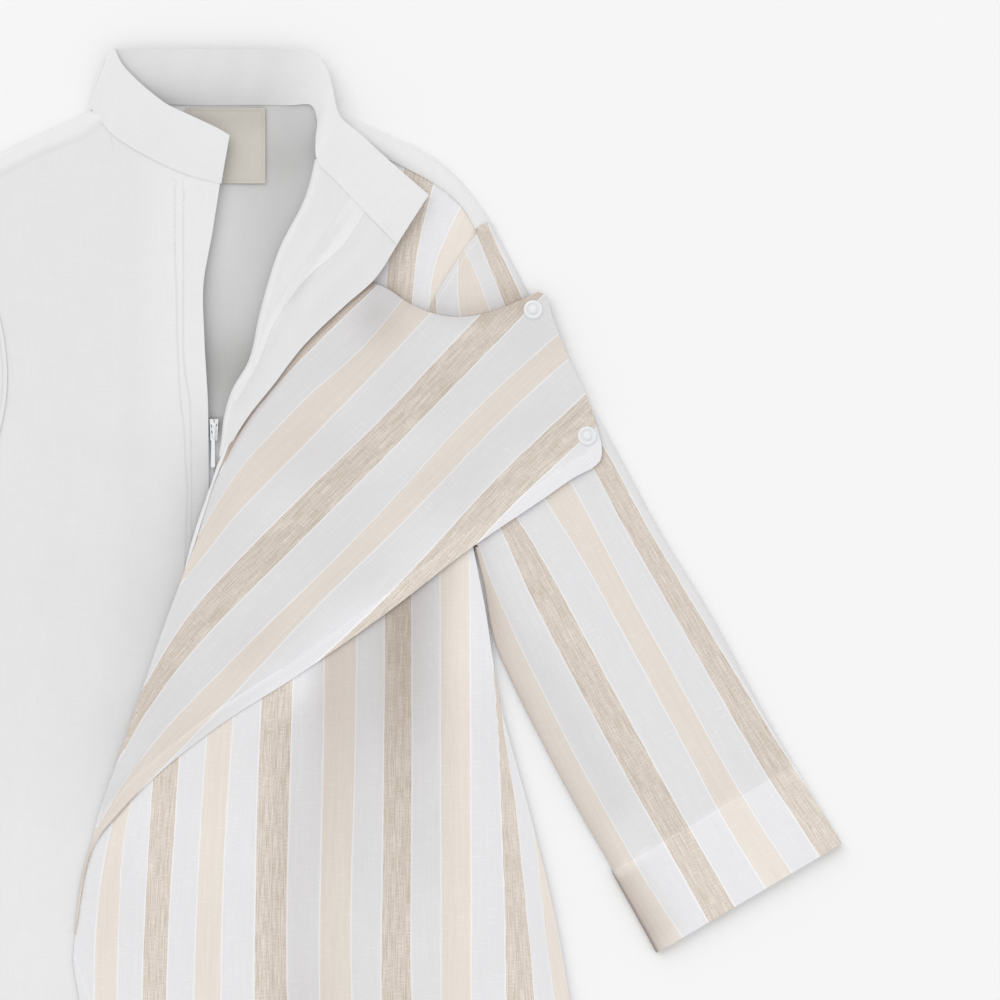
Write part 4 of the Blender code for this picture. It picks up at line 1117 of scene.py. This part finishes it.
def wrapShade(x, y):
    # painted shade: below the flap, and where the cloth sinks under the collar and the sleeve, uneven at random and
    # a little deeper over the lower part
    gap = gapFrom(x, y, wrap["freeEdge"])
    shadow = softStep((x - 50) / 22) * softStep((154 - x) / 24)
    near = 0.34 + 0.2 * falloff(x - 115, 14)
    under = shadow * (0.08 + near * falloff(gap, 85, 1.5))
    under = under * (0.15 + 0.85 * softStep((300 - y) / 60))
    under = under + 0.2 * falloff(x - 50, 15) * softStep((gap - 4) / 20) * softStep((90 - y) / 30)
    under = under + 0.08 * (drift(x, y, 3.3, 70) - 0.45)
    corner = 0.22 * falloff(x - 104, 14) * softStep((y - 270) / 20) * softStep((370 - y) / 30)
    neckline = gapFrom(x, y, wrap["neckEdge"])
    edge = 0.35 * falloff(neckline, 5, 1) * (y > 280)
    return np.clip(under + corner + edge + 0.06 * softStep((100 - y) / 60), 0, 1)


def makeWrapFront():
    rows = wrap["foldRows"]
    outline = smoothCurve(foldEdges["wrapFold"], rows)
    inward = leftNormals(outline)
    taper = np.clip((outline[:, 1] + 84) / 130, 0.04, 1) ** 0.9
    start = outline + inward * (levels["foldRoll"] * taper)[:, None]
    neck = smoothCurve([body["shoulderSeam"][0], (75.5, 366), (82, 336), start[0]], wrap["neckRows"])
    total = wrap["neckRows"] + rows + wrap["freeRows"]
    free = smoothCurve([start[-1], *foldEdges["wrapFree"][1:]], wrap["freeRows"])
    left = np.vstack([neck[:-1], start, free[1:]])
    right = frontSide(1, total)
    top = smoothCurve(body["shoulderSeam"], wrap["columns"])
    hem = hemEdge(left[-1], right[-1], wrap["columns"])
    flat = fillBetween(hem, top, left[::-1], right[::-1])
    x, y = flat[..., 0], flat[..., 1]
    places = withHeight(flat, wrapHeight)
    fromHem = y - hem[None, :, 1]
    places[..., 2] += 0.5 * softStep((body["hemDepth"] - fromHem) / 2)
    edgeHem = signedGap(x, y, wrap["edgeHem"])
    places[..., 2] += 0.35 * softStep((0.4 - edgeHem) / 1.5) * softStep((-88 - y) / 6)
    edgeHem = edgeHem + 30 * softStep((y + 92) / 3)
    bm = bmesh.new()
    addGrid(bm, places, baseStripes(x, y), wrapShade(x, y), fromHem - body["hemDepth"] + 1.5, edgeHem)
    low = wrapHeight(start[:, 0], start[:, 1])
    neckEdge = smoothCurve([start[0], *wrap["neckEdge"]], wrap["flapNeckColumns"])
    shoulderEdge = smoothCurve(wrap["shoulderEdge"], wrap["flapShoulderColumns"])
    flapTop = np.vstack([neckEdge, shoulderEdge[1:]])
    freeEdge = smoothCurve([*wrap["freeEdge"][:-1], start[-1]], rows)
    tip = np.repeat(start[-1:], len(flapTop), axis=0)
    flapFlat = fillBetween(tip, flapTop, start[::-1], freeEdge[::-1])
    fx, fy = flapFlat[..., 0], flapFlat[..., 1]
    flap = withHeight(flapFlat, flapHeight)
    lowRow = low[::-1][:, None]
    flap[..., 2] = lowRow + (flap[..., 2] - lowRow) * taper[::-1][:, None]
    hemGap = gapFrom(fx, fy, wrap["freeEdge"][:-1])
    flap[..., 2] += 0.4 * softStep((wrap["hemBand"] - hemGap) / 1.6)
    flap[..., 2] -= 0.25 * falloff(hemGap - wrap["hemBand"], 1.3)
    neckGap = gapFrom(fx, fy, [start[0], *wrap["neckEdge"]])
    flap[..., 2] -= 0.8 * falloff(neckGap, 6)
    # its free edge droops onto the cloth below
    rest = wrapHeight(fx, fy) + 0.85
    droop = falloff(hemGap, 6) * softStep((100 - fx) / 60)
    flap[..., 2] = softMax(flap[..., 2] * (1 - droop) + rest * droop, rest, 0.2)
    lapelGap = gapFrom(fx, fy, foldEdges["lapelEdge"])
    # painted shade on the flap: a light veil, lighter along the hem, deeper under its neck edge, in a thin line
    # beside the lapel's edge, at the top corner by the lapel and towards the tip, uneven at random, and a thin dark
    # painted line along the free edge near the tip
    flapShade = 0.13 + 0.08 * softStep((hemGap - wrap["hemBand"]) / 1.5) + 0.12 * falloff(neckGap, 5, 1.5)
    flapShade = flapShade + 0.6 * falloff(lapelGap, 2.2) * softStep((fy - 185) / 15)
    corner = np.hypot(fx - 98, fy - 292)
    flapShade = flapShade + 0.25 * falloff(corner, 16) + 0.12 * (drift(fx, fy, 2.0, 64) - 0.5)
    flapShade = flapShade + 0.12 * softStep((wrap["tipBelow"] + 3 - fy) / 10)
    flapShade = np.maximum(flapShade - 0.15 * falloff(hemGap, 26) * softStep((fx - 5) / 40), 0)
    edgeLine = softStep((-40 - fx) / 10) * softStep((fy + 24) / 8)
    flapShade = flapShade + 0.7 * falloff(hemGap, 0.8) * edgeLine
    onFlap = flapStripes(start[:, 0], start[:, 1])
    tipRow = int(np.argmax(start[:, 1] < wrap["tipBelow"]))
    onFlap[tipRow:, 0] = 0.5 * repeatLength
    cloth = flapStripes(fx, fy)
    cloth[..., 0] = np.where(fy < wrap["tipBelow"], 0.5 * repeatLength, cloth[..., 0])
    sewnHem = np.clip(signedGap(fx, fy, wrap["freeEdge"][:-1]) + wrap["hemBand"], -12, 12)
    addGrid(bm, flap, cloth, flapShade, sewnHem * (1 + 30 * softStep((-fx - 20) / 12)))
    # round the fold the cloth runs on from the flap's own stripes
    rolled = rollOver(outline, start, low, flap[::-1, 0, 2], 12)
    around = lengthsAlong(rolled[:, ::-1])[:, ::-1] * np.where(start[:, 1] < wrap["tipBelow"], 0.3, 1.0)[:, None]
    # painted shade round the fold, carried on from the flap's, and deeper towards the tip
    tipShade = 0.1 * softStep((wrap["tipBelow"] - start[:, 1]) / 12)[:, None]
    rollShade = flapShade[::-1, :1] * softStep(np.arange(13) / 8)[None] + tipShade
    addGrid(bm, rolled, clothAt(onFlap[:, :1] - around, onFlap[:, 1:]), rollShade)
    return finishPiece("wrapFront", bm, linenCloth, body["clothThickness"])


wrapFront = makeWrapFront()
print("wrap front made")

# The stand collar, one band folded at the left of the neck

collar = {
    "thickness": 0.9,
    "height": 33,
    "bandRows": 110,
    "frontRows": 44,
    # seam x y z, free edge x y z, from the turned-back end round the neck to the right front end
    "band": [
        (110, 332.8, 11.2, 129, 362.4, 10.2),
        (85.8, 357.8, 11.4, 102, 386, 10.8),
        (73.6, 370.8, 11.4, 88.4, 398.6, 11),
        (62.4, 382.8, 11.2, 76, 409.6, 11.2),
        (61.6, 396, 9, 71.6, 426, 11),
        (62.4, 408, 6, 68, 438.6, 10),
        (59, 416.4, 2.6, 61.6, 446.6, 8.6),
        (46, 416.8, 1.45, 46.4, 449, 7.8),
        (0, 416.8, 1.25, 0, 450, 7.2),
        (-50, 416.8, 1.25, -44, 450, 7.0),
        (-71, 415.2, 1.6, -58, 450.2, 6.8),
    ],
    "front": [
        (-73, 414.2, 6, -59, 450.2, 9.8),
        (-68.4, 408.6, 6, -54.4, 441, 9.8),
        (-61.9, 400.4, 6, -46.9, 432.6, 9.8),
        (-51.2, 392.5, 6, -37.2, 424, 9.7),
        (-43.6, 388.1, 6, -27.5, 416.8, 9.6),
        (-36.1, 384.1, 6, -16.7, 411.6, 9.5),
        (-25.3, 378.8, 6, -5.9, 406.6, 9.4),
        (-12.4, 373.8, 6, 3.2, 402.2, 9.3),
        (4.8, 369.4, 6, 9.9, 398.2, 9.2),
    ],
    "foldReach": 2.4,
    "across": 12,
}


def makeCollar():
    band, front = (
        [smoothCurve([row[part] for row in collar[name]], count) for part in (slice(0, 3), slice(3, 6))]
        for name, count in (("band", collar["bandRows"]), ("front", collar["frontRows"]))
    )
    angles = np.linspace(0, math.pi, 12)[1:-1]
    # each seam sits on the front that it is sewn to
    front[0][:, 2] = rightHeight(front[0][:, 0], front[0][:, 1]) + 0.7
    turnedBack = band[0][:, 1] < 384
    band[0][turnedBack, 2] = lapelHeight(band[0][turnedBack, 0], band[0][turnedBack, 1]) + 0.5
    seams, frees = [band[0]], [band[1]]
    for k, lines in ((0, seams), (1, frees)):
        a, b = band[k][-1], front[k][0]
        outward = np.array([-collar["foldReach"], 0, 0])
        lines.append(np.array([a + (b - a) * (1 - math.cos(t)) / 2 + outward * math.sin(t) for t in angles]))
        lines.append(front[k])
    seam, free = np.vstack(seams), np.vstack(frees)
    share = np.linspace(0, 1, collar["across"] + 1)[None, :, None]
    places = seam[:, None] * (1 - share) + free[:, None] * share
    # the band bows gently between its two edges
    x, y = places[..., 0], places[..., 1] * 0.3
    places[..., 2] += 0.9 * np.sin(math.pi * share[..., 0]) + 0.5 * drift(x, y, 1.4, 30)
    along = np.r_[0, np.linalg.norm(np.diff(seam, axis=0), axis=1).cumsum()]
    bm = bmesh.new()
    # the part behind the neck is seen from its inside: painted shade, deeper towards its seam where less light
    # comes, and uneven at random
    row = np.arange(len(seam))
    behind = softStep((row - 48) / 18) * softStep((collar["bandRows"] + 3 - row) / 3)
    inner = behind[:, None] * (0.08 + 0.25 * (1 - share[0, None, :, 0]) ** 2)
    inner = inner + 0.1 * behind[:, None] * drift(x, y, 2.7, 26)
    addGrid(bm, places, clothAt(along[:, None], share[..., 0] * collar["height"]), inner)
    return finishPiece("collarBand", bm, poplinCloth, collar["thickness"])


collarBand = makeCollar()
print("collar made")

# The sleeves, striped on the left and white on the right

sleeve = {
    "rows": 120,
    "columns": 46,
    "split": 34,  # rows of the armhole that the sleeve's upper edge takes
    "slit": 26,  # rows from there to its inner side
    "outer": [
        (165.8, 346), (187.2, 305.4), (214.2, 258), (240.6, 210), (266, 162.6), (295, 115), (335, 42),
        (376.2, -25.8),
    ],
    "inner": [
        (156.8, 151.8), (161.6, 133), (169.4, 93), (178, 73), (198, 33), (216, -1), (241.5, -45), (267.6, -90),
    ],
    "cuffDepth": 55.0,
    "roundedTop": 10.0,
    "domeHeight": 2.6,
    "reach": 2.2,
}


def sleeveShade(x, y):
    # painted shade on the left sleeve: along its inner edge, in the hollow of a fold, inside the cuff by the inner
    # edge, at the flap's edge and under the flap's neck edge
    gap = gapFrom(x, y, sleeve["inner"])
    hollow = gapFrom(x, y, [(160, 120), (186, 90), (212, 50), (240, 0)])
    under = gapFrom(x, y, wrap["freeEdge"][:4])
    neckline = gapFrom(x, y, wrap["neckEdge"])
    shade = 0.32 * falloff(gap, 6, 1.3) + 0.12 * falloff(hollow, 14)
    cuff = gapFrom(x, y, [sleeve["outer"][-1], sleeve["inner"][-1]])
    inCuff = softStep((sleeve["cuffDepth"] - cuff) / 8) * (0.4 + 0.6 * softStep(cuff / 14))
    shade = shade + 0.28 * falloff(gap, 18) * inCuff
    return np.clip(shade + 0.02 * falloff(under, 7, 1.2) + 0.4 * falloff(neckline, 8, 1.1) * (y > 285), 0, 1)


def makeSleeve(name, sign, material, stripes):
    rows = sleeve["rows"]
    slit, split = sleeve["slit"], sleeve["split"]
    outer = smoothCurve(sleeve["outer"], rows)
    inner = smoothCurve(sleeve["inner"], rows - slit)
    reach = sleeve["reach"]
    outerStart = outer - leftNormals(outer) * reach
    innerStart = inner + leftNormals(inner) * reach
    cuff = evenly([outerStart[-1], innerStart[-1]], sleeve["columns"])

    def spread(lap):
        # one layer of the sleeve, its top edge this far outside the armhole
        edge = armholeEdge()
        edge = edge + leftNormals(edge) * lap
        closer = (np.linspace(0, 1, sleeve["columns"] + 1) ** 1.4 * 1000).astype(int)
        upper = evenly(edge[: split + 1], 1000)[closer]
        # the gathered top is rounded where it comes out from under the shoulder
        fromTip = np.linalg.norm(upper - upper[0], axis=1)
        rounded = fromTip < sleeve["roundedTop"]
        end = upper[~rounded][0]
        upward = leftNormals(np.array([outerStart[0], end, end]))[0] * (-1 if lap < 0 else 0)
        share = fromTip[rounded][:, None] / sleeve["roundedTop"]
        dome = upward * sleeve["domeHeight"] * np.sin(math.pi * share) ** 0.8
        upper[rounded] = outerStart[0] + (end - outerStart[0]) * share + dome
        innerSide = np.vstack([evenly(np.vstack([edge[split:-1], innerStart[:1]]), slit)[:-1], innerStart])
        return fillBetween(upper, cuff, outerStart, innerSide)

    lines = spread(-1.0)
    x, y = lines[..., 0], lines[..., 1]
    top = sleeveHeight(x, y)
    cuffGap = gapFrom(x, y, [tuple(cuff[0]), tuple(cuff[-1])])
    top = top + 0.5 * softStep((sleeve["cuffDepth"] - cuffGap) / 2)
    # at the armhole the upper cloth laps the body
    fromBodice = gapFrom(x, y, body["armhole"])
    bodice = wrapHeight(x, y) if sign > 0 else rightHeight(-x, y)
    top = top + (softMax(top, bodice + 1.0) - top) * falloff(fromBodice, 6, 4)
    fromTip = gapFrom(x, y, [body["armhole"][0], body["shoulderSeam"][-1]])
    top = top + 1.5 * falloff(fromTip, 5)
    above = np.dstack([x, y, top])
    under = spread(0.5)
    below = np.dstack([under, np.full(x.shape, levels["back"])])
    # painted shade: the left sleeve's own, and above the cuff both sleeves a little darker than their doubled cuffs
    onShade = sleeveShade(x, y) if sign > 0 else 0.0 * x
    shade = onShade + (0.13 if sign > 0 else 0.05) * softStep((cuffGap - sleeve["cuffDepth"]) / 1.5)
    steps = 8
    onCloth = stripes(x, y)
    seams = [cuffGap - sleeve["cuffDepth"], signedGap(x, y, [tuple(p) for p in armholeEdge()[1:-1]]) - 1.6]
    bm = bmesh.new()

    def add(places, cloth, *values):
        addGrid(bm, mirrored(places) if sign < 0 else places, cloth, *values)

    add(above, onCloth, shade, *seams)
    add(below, onCloth + 4 * repeatLength, 0 * shade)
    for edgeLine, startLine, column, first in ((outer, outerStart, 0, 0), (inner, innerStart, -1, slit)):
        low = below[first:, column, 2]
        high = above[first:, column, 2]
        arc = rollOver(edgeLine, startLine, low, high, steps)
        around = lengthsAlong(arc[:, ::-1])[:, ::-1] * (-1 if column == 0 else 1)
        cloth = clothAt(onCloth[first:, column, :1] + around, onCloth[first:, column, 1:])
        edgeShade = shade[first:, column, None] + 0.0 * around
        if column == -1:
            # the lower layer of the cuff peeps out behind the upper one
            peep = softStep((sleeve["cuffDepth"] + 4 - cuffGap[first:, -1]) / 6)[:, None]
            outward = (edgeLine - startLine)[:, None] / reach
            lower = softStep((5.4 - np.arange(steps + 1)) / 1.2)[None]
            onward = np.linspace(0, 1, len(arc))[:, None]
            arc[..., :2] += outward * ((0.7 + 1.7 * onward**5) * peep * lower)[..., None]
            # painted shadow on the edge that peeps out, its stripes moved onto a tan band so that it reads darker
            # still
            edgeShade += 0.95 * peep * lower
            tanBand = np.round(cloth[..., 0] / repeatLength) * repeatLength
            cloth[..., 0] = np.where(peep * lower > 0.5, tanBand, cloth[..., 0])
        add(arc, cloth, edgeShade)
    return finishPiece(name, bm, material, body["clothThickness"])


leftSleeve = makeSleeve("leftSleeve", 1, linenCloth, sleeveStripes)
rightSleeve = makeSleeve("rightSleeve", -1, poplinCloth, clothAt)
print("sleeves made")

# The neck label, bare

label = {"box": (-16.8, 369.8, 30.9, 415.2), "level": 2.0, "thickness": 0.8}


def makeLabel():
    x0, y0, x1, y1 = label["box"]
    u, v = np.meshgrid(np.linspace(x0, x1, 41), np.linspace(y0, y1, 39))
    z = label["level"] + 0.3 * drift(u, v, 1.0, 40)
    edge = np.minimum(np.minimum(u - x0, x1 - u), np.minimum(v - y0, y1 - v))
    z = z - 0.2 * falloff(edge - 1.6, 0.8)
    bm = bmesh.new()
    # painted shade, deeper towards the label's top, under the collar
    addGrid(bm, np.dstack([u, v, z]), clothAt(u, v), 0.2 + 0.12 * softStep((v - 395) / 15), edge - 1.8)
    return finishPiece("neckLabel", bm, labelCloth, label["thickness"])


neckLabel = makeLabel()

# The zip: two tapes, a strip of cloth behind its closed part, its coil, its pull tab, and dark marks painted on the
# slider as the shadow in its openings
zipParts = {
    "tapeInner": [(84, 364.4), (78.6, 356), (64, 333), (46, 309), (31.8, 284), (24.4, 261), (11.2, 239.4)],
    "tapeOuter": [(93.4, 355.4), (88, 347), (78.6, 333), (54.6, 311), (36.6, 285), (26.4, 260), (13.6, 238)],
    "tapeThickness": 0.35,
    "guard": {"half": 9, "low": 60, "high": 230, "z": 1.36, "thickness": 0.4},
    "toothPitch": 1.25,
    "toothSize": (2.6, 0.8, 1.0),
    "toothTurn": 0.2,
    "chainX": -0.45,
    "chainZ": 2.1,
    "chainEnds": (60.0, 222.0),
}


def makeTapes():
    made = []
    for name, inner, outer, height in (
        ("zipTapeLeft", zipParts["tapeInner"], zipParts["tapeOuter"], lambda x, y: lapelHeight(x, y) + 0.42),
        (
            "zipTapeRight",
            [(x - 12, y) for x, y in foldEdges["placket"] if y > 230],
            [(x - 1.5, y) for x, y in foldEdges["placket"] if y > 230],
            lambda x, y: rightHeight(x, y) - 1.3,
        ),
    ):
        a, b = smoothCurve(inner, 60), smoothCurve(outer, 60)
        share = np.linspace(0, 1, 9)[None, :, None]
        flat = a[:, None] * (1 - share) + b[:, None] * share
        bm = bmesh.new()
        addGrid(bm, withHeight(flat, height), clothAt(flat[..., 0], flat[..., 1]))
        made.append(finishPiece(name, bm, tapeCloth, zipParts["tapeThickness"]))
    return made


zipTapeLeft, zipTapeRight = makeTapes()


def makeZipGuard():
    # a strip of the robe's cotton behind the closed part of the zip
    guard = zipParts["guard"]
    x, y = np.meshgrid(np.linspace(-guard["half"], guard["half"], 19), np.linspace(guard["low"], guard["high"], 91))
    bm = bmesh.new()
    # painted shade, deepening towards its top to match the shaded inside of the neck
    addGrid(bm, np.dstack([x, y, guard["z"] + 0.0 * x]), clothAt(x, y), 0.1 + 0.6 * softStep((y - 212) / 16))
    return finishPiece("zipGuard", bm, poplinCloth, guard["thickness"])


zipGuard = makeZipGuard()


def addBead(bm, size, centre, turn):
    # a short flattened bead: a turn of the zip's coil, or a stitch
    made = bmesh.ops.create_uvsphere(bm, u_segments=6, v_segments=4, radius=0.5)["verts"]
    placeShape(bm, made, size, centre, turn)


def makeChain():
    bm = bmesh.new()
    low, high = zipParts["chainEnds"]
    pitch = zipParts["toothPitch"]
    for i in range(int((high - low) / pitch)):
        y = low + (i + 0.5) * pitch
        for side, ahead in ((-1, 0), (1, pitch / 2)):
            centre = (zipParts["chainX"] + side * 0.55, y + ahead, zipParts["chainZ"])
            addBead(bm, zipParts["toothSize"], centre, -side * zipParts["toothTurn"])
    return finishPiece("zipChain", bm, acetal, sharp=80)


zipChain = makeChain()

pullTab = {
    "centreX": -0.2,
    "width": 2.0,
    "flare": 1.25,
    "top": 217.6,
    "bottom": 199.4,
    "z": (5.45, 6.35),
    "corner": 0.9,
    "rim": 0.22,
    "bar": (0.2, 219.0, 5.95),
    "barWidth": 3.4,
    "barRadius": 0.42,
    "armSize": (0.7, 3.4, 0.8),
    "armCentre": (0.1, 217.9, 5.95),
    "armApart": 1.25,
    "armTurn": 0.2,
}


def makePull():
    # a slim moulded tab, wider at its end, on a bar that turns under the slider's bridge
    bm = bmesh.new()
    low, high = pullTab["z"]
    made = bmesh.ops.create_cube(bm, size=1.0)["verts"]
    size = Vector((pullTab["width"], pullTab["top"] - pullTab["bottom"], high - low))
    bmesh.ops.scale(bm, verts=made, vec=size * mm)
    for vert in made:
        if vert.co.y < 0:
            vert.co.x *= pullTab["flare"]
    middle = Vector((pullTab["centreX"], (pullTab["top"] + pullTab["bottom"]) / 2, (low + high) / 2))
    bmesh.ops.translate(bm, verts=made, vec=middle * mm)
    upright = [edge for edge in bm.edges if abs(edge.verts[0].co.z - edge.verts[1].co.z) > 0.5 * mm]
    roundEdges(bm, upright, pullTab["corner"], 5)
    rims = [edge for edge in bm.edges if abs(edge.verts[0].co.z - edge.verts[1].co.z) < 0.1 * mm]
    roundEdges(bm, rims, pullTab["rim"], 2)
    radius = pullTab["barRadius"] * mm
    bar = bmesh.ops.create_cone(
        bm, cap_ends=True, segments=16, radius1=radius, radius2=radius, depth=pullTab["barWidth"] * mm
    )["verts"]
    bmesh.ops.rotate(bm, verts=bar, cent=(0, 0, 0), matrix=Matrix.Rotation(math.pi / 2, 3, "Y"))
    bmesh.ops.translate(bm, verts=bar, vec=Vector(pullTab["bar"]) * mm)
    for side in (-1, 1):
        arm = bmesh.ops.create_cube(bm, size=1.0)["verts"]
        x, y, z = pullTab["armCentre"]
        centre = (side * pullTab["armApart"] + x, y, z)
        placeShape(bm, arm, pullTab["armSize"], centre, side * pullTab["armTurn"])
    return finishPiece("pullTab", bm, acetal, sharp=40)


pull = makePull()

# Painted shadow marks on the slider, where its openings lie in shade
slotShadowMarks = {
    "places": [(0.4, 227.3, 0.2), (1.8, 224.8, -0.35), (-1.3, 224.4, 0.35), (-1.0, 220.7, 0.15)],
    "size": (0.6, 1.9, 0.5),
    "rounded": 0.12,
    "z": 5.12,
}


def makeSlotShadowMarks():
    # painted shadow: small dark blocks on the slider, where the openings that the coil runs through lie in shade
    bm = bmesh.new()
    for x, y, turn in slotShadowMarks["places"]:
        made = bmesh.ops.create_cube(bm, size=1.0)["verts"]
        placeShape(bm, made, slotShadowMarks["size"], (x, y, slotShadowMarks["z"]), turn)
    roundEdges(bm, list(bm.edges), slotShadowMarks["rounded"], 2)
    return finishPiece("slotShadowMarks", bm, slotShadowPaint, sharp=40)


slotShadowPiece = makeSlotShadowMarks()

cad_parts["zip_slider"].data.materials.clear()
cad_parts["zip_slider"].data.materials.append(acetal)

# The snaps on the flap's shoulder edge. Rings are radius and height, from the centre of the underside
snap = {
    "centres": {"snapUpper": (191.4, 294), "snapLower": (223.8, 218.4)},
    "rings": [
        (0, 0), (5.6, 0), (5.75, 0.35), (5.6, 0.9), (5.1, 1.35), (4.5, 1.45), (4.0, 1.3), (3.7, 0.8), (3.1, 0.65),
        (2.7, 0.8), (2.5, 1.5), (2.2, 2.0), (1.5, 2.3), (0.8, 2.35), (0, 2.3),
    ],
}


def makeSnap(name):
    x, y = snap["centres"][name]
    z = float(flapHeight(np.array(x), np.array(y))) + 0.1
    bm = bmesh.new()
    points = [bm.verts.new(Vector((r, 0, h)) * mm) for r, h in snap["rings"]]
    edges = [bm.edges.new(pair) for pair in zip(points, points[1:])]
    bmesh.ops.spin(
        bm, geom=points + edges, cent=(0, 0, 0), axis=(0, 0, 1), angle=2 * math.pi, steps=48, use_merge=True
    )
    bmesh.ops.remove_doubles(bm, verts=bm.verts, dist=weld)
    bmesh.ops.translate(bm, verts=bm.verts, vec=Vector((x, y, z)) * mm)
    return finishPiece(name, bm, acetal, sharp=60)


snapUpper = makeSnap("snapUpper")
snapLower = makeSnap("snapLower")
print("label, zip and snaps made")

# Stitching at the placket, the hems and the cuffs

# Size of one stitch, the gap to the next, and how high it lies over the middle of each cloth
stitch = {
    "size": (2.5, 0.5, 0.3),
    "gap": 1.0,
    "onPlacket": 0.44,
    "onRightHem": 0.69,
    "onLeftHem": 0.74,
    "onFlap": 0.26,
    "onCuff": 0.34,
}


def sewLine(bm, line, height, lift):
    # short threads laid end to end along a line on the cloth
    line = np.array(line, float)
    length = np.linalg.norm(np.diff(line, axis=0), axis=1).sum()
    count = max(2, int(length / (stitch["size"][0] + stitch["gap"])))
    spots = evenly(line, count * 2)[1::2]
    ahead = evenly(line, count * 2)
    for i, spot in enumerate(spots):
        step = ahead[2 * i + 2] - ahead[2 * i]
        z = float(height(np.array(spot[0]), np.array(spot[1]))) + lift
        addBead(bm, stitch["size"], (spot[0], spot[1], z), math.atan2(step[1], step[0]))


def makeStitching():
    bm = bmesh.new()
    for points in rightPiece["placketStitches"]:
        line = smoothCurve(points, 90)
        sewLine(bm, line[2:-4], rightHeight, stitch["onPlacket"])
    hem = fineCurve(body["hem"])
    whole = np.vstack([hem * (-1, 1), hem[::-1]]) + (0, body["hemDepth"] - 2)
    right = whole[(whole[:, 0] > -243) & (whole[:, 0] < -64)]
    sewLine(bm, right, rightHeight, stitch["onRightHem"])
    left = whole[(whole[:, 0] > -56) & (whole[:, 0] < 243)]
    sewLine(bm, left, wrapHeight, stitch["onLeftHem"])
    free = smoothCurve(wrap["freeEdge"][:-1], 80)
    free = free - leftNormals(free) * wrap["hemBand"]
    free = free[3:][free[3:, 1] > 12]
    free = free[free[:, 0] > 40]
    sewLine(bm, free, flapHeight, stitch["onFlap"])
    cuffA, cuffB = np.array(sleeve["outer"][-1], float), np.array(sleeve["inner"][-1], float)
    upSleeve = -np.array(warpRuns["sleeve"]) * sleeve["cuffDepth"]
    line = evenly([cuffA + upSleeve + (-6, -4), cuffB + upSleeve + (6, 4)], 40)
    sewLine(bm, line, sleeveHeight, stitch["onCuff"])
    sewLine(bm, mirrored(line), lambda x, y: sleeveHeight(-x, y), stitch["onCuff"])
    return finishPiece("stitching", bm, whiteThread, sharp=80)


stitching = makeStitching()
print("stitching made")

# What moves with what, and what each piece stands for

onRobe = {
    backBody: ("back_panel", "left_shoulder_turn", "right_shoulder_turn"),
    rightFront: ("right_front",),
    leftFront: ("left_front",),
    wrapFront: ("left_wrap_front",),
    collarBand: ("collar_band",),
    leftSleeve: ("left_sleeve",),
    rightSleeve: ("right_sleeve",),
    neckLabel: ("neck_label",),
    zipTapeLeft: ("zip_tape_left",),
    zipTapeRight: ("zip_tape_right",),
    zipChain: ("zip_chain",),
    zipGuard: (),
    slotShadowPiece: (),
    snapUpper: ("snap_upper",),
    snapLower: ("snap_lower",),
    stitching: (),
}
for piece, nodes in onRobe.items():
    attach(piece, "robe")
    if nodes:
        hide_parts(*nodes)
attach(pull, "pull_tab")
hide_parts("zip_pull")

# Floor, light and camera

# Painted board, sprayed matt: even pale grey, with an orange peel of about 3 mm that hardly shows
studio = {
    "floor": "#F4F4F4",
    "floorRoughness": 0.9,
    "floorSize": 4.0,
    "world": 0.79,
    # where each light comes from, how wide it is in degrees, and its power
    "lights": {"keyLight": ((-1.3, 1.9, 2.6), 60, 0.76), "fillLight": ((1.8, -1.0, 2.4), 80, 0.2)},
    "cameraPlace": (0.1716, 0.180, 3.0),
    "lens": 180,
    "sensor": 36,
}


def makeFloor():
    material, tree, shader = newMaterial("paintedBoardMatt", studio["floorRoughness"], IOR=1.45)
    place = addNode(tree, "ShaderNodeTexCoord", output="Object")
    peel = addNode(tree, "ShaderNodeTexNoise", {"Vector": place, "Scale": 300.0})
    shader.inputs["Base Color"].default_value = toLinear(studio["floor"])
    bump = addNode(tree, "ShaderNodeBump", {"Height": peel, "Strength": 0.05, "Distance": 0.0001})
    tree.links.new(bump, shader.inputs["Normal"])
    bm = bmesh.new()
    bmesh.ops.create_grid(bm, x_segments=12, y_segments=12, size=studio["floorSize"])
    return finishPiece("floor", bm, material)


floor = makeFloor()
floor.data.transform(Matrix.Translation((0, 0, -0.0002)))  # just under the robe

world = bpy.data.worlds.new("studio")
world.use_nodes = True
world.node_tree.nodes["Background"].inputs[0].default_value = (1, 1, 1, 1)
world.node_tree.nodes["Background"].inputs[1].default_value = studio["world"]
bpy.context.scene.world = world


def addLight(name, place, spread, power):
    # a large soft source, far enough away to light every part alike
    data = bpy.data.lights.new(name, "SUN")
    data.angle = math.radians(spread)
    data.energy = power
    light = bpy.data.objects.new(name, data)
    light.location = place
    light.rotation_euler = (-Vector(place)).to_track_quat("-Z", "Y").to_euler()
    bpy.context.scene.collection.objects.link(light)


for name, (place, spread, power) in studio["lights"].items():
    addLight(name, place, spread, power)

camera = bpy.data.objects.new("camera", bpy.data.cameras.new("camera"))
camera.data.lens = studio["lens"]
camera.data.sensor_width = studio["sensor"]
camera.data.clip_end = 100
camera.location = studio["cameraPlace"]
bpy.context.scene.collection.objects.link(camera)
bpy.context.scene.camera = camera
bpy.context.scene.view_settings.view_transform = "Standard"

print("robe finished")
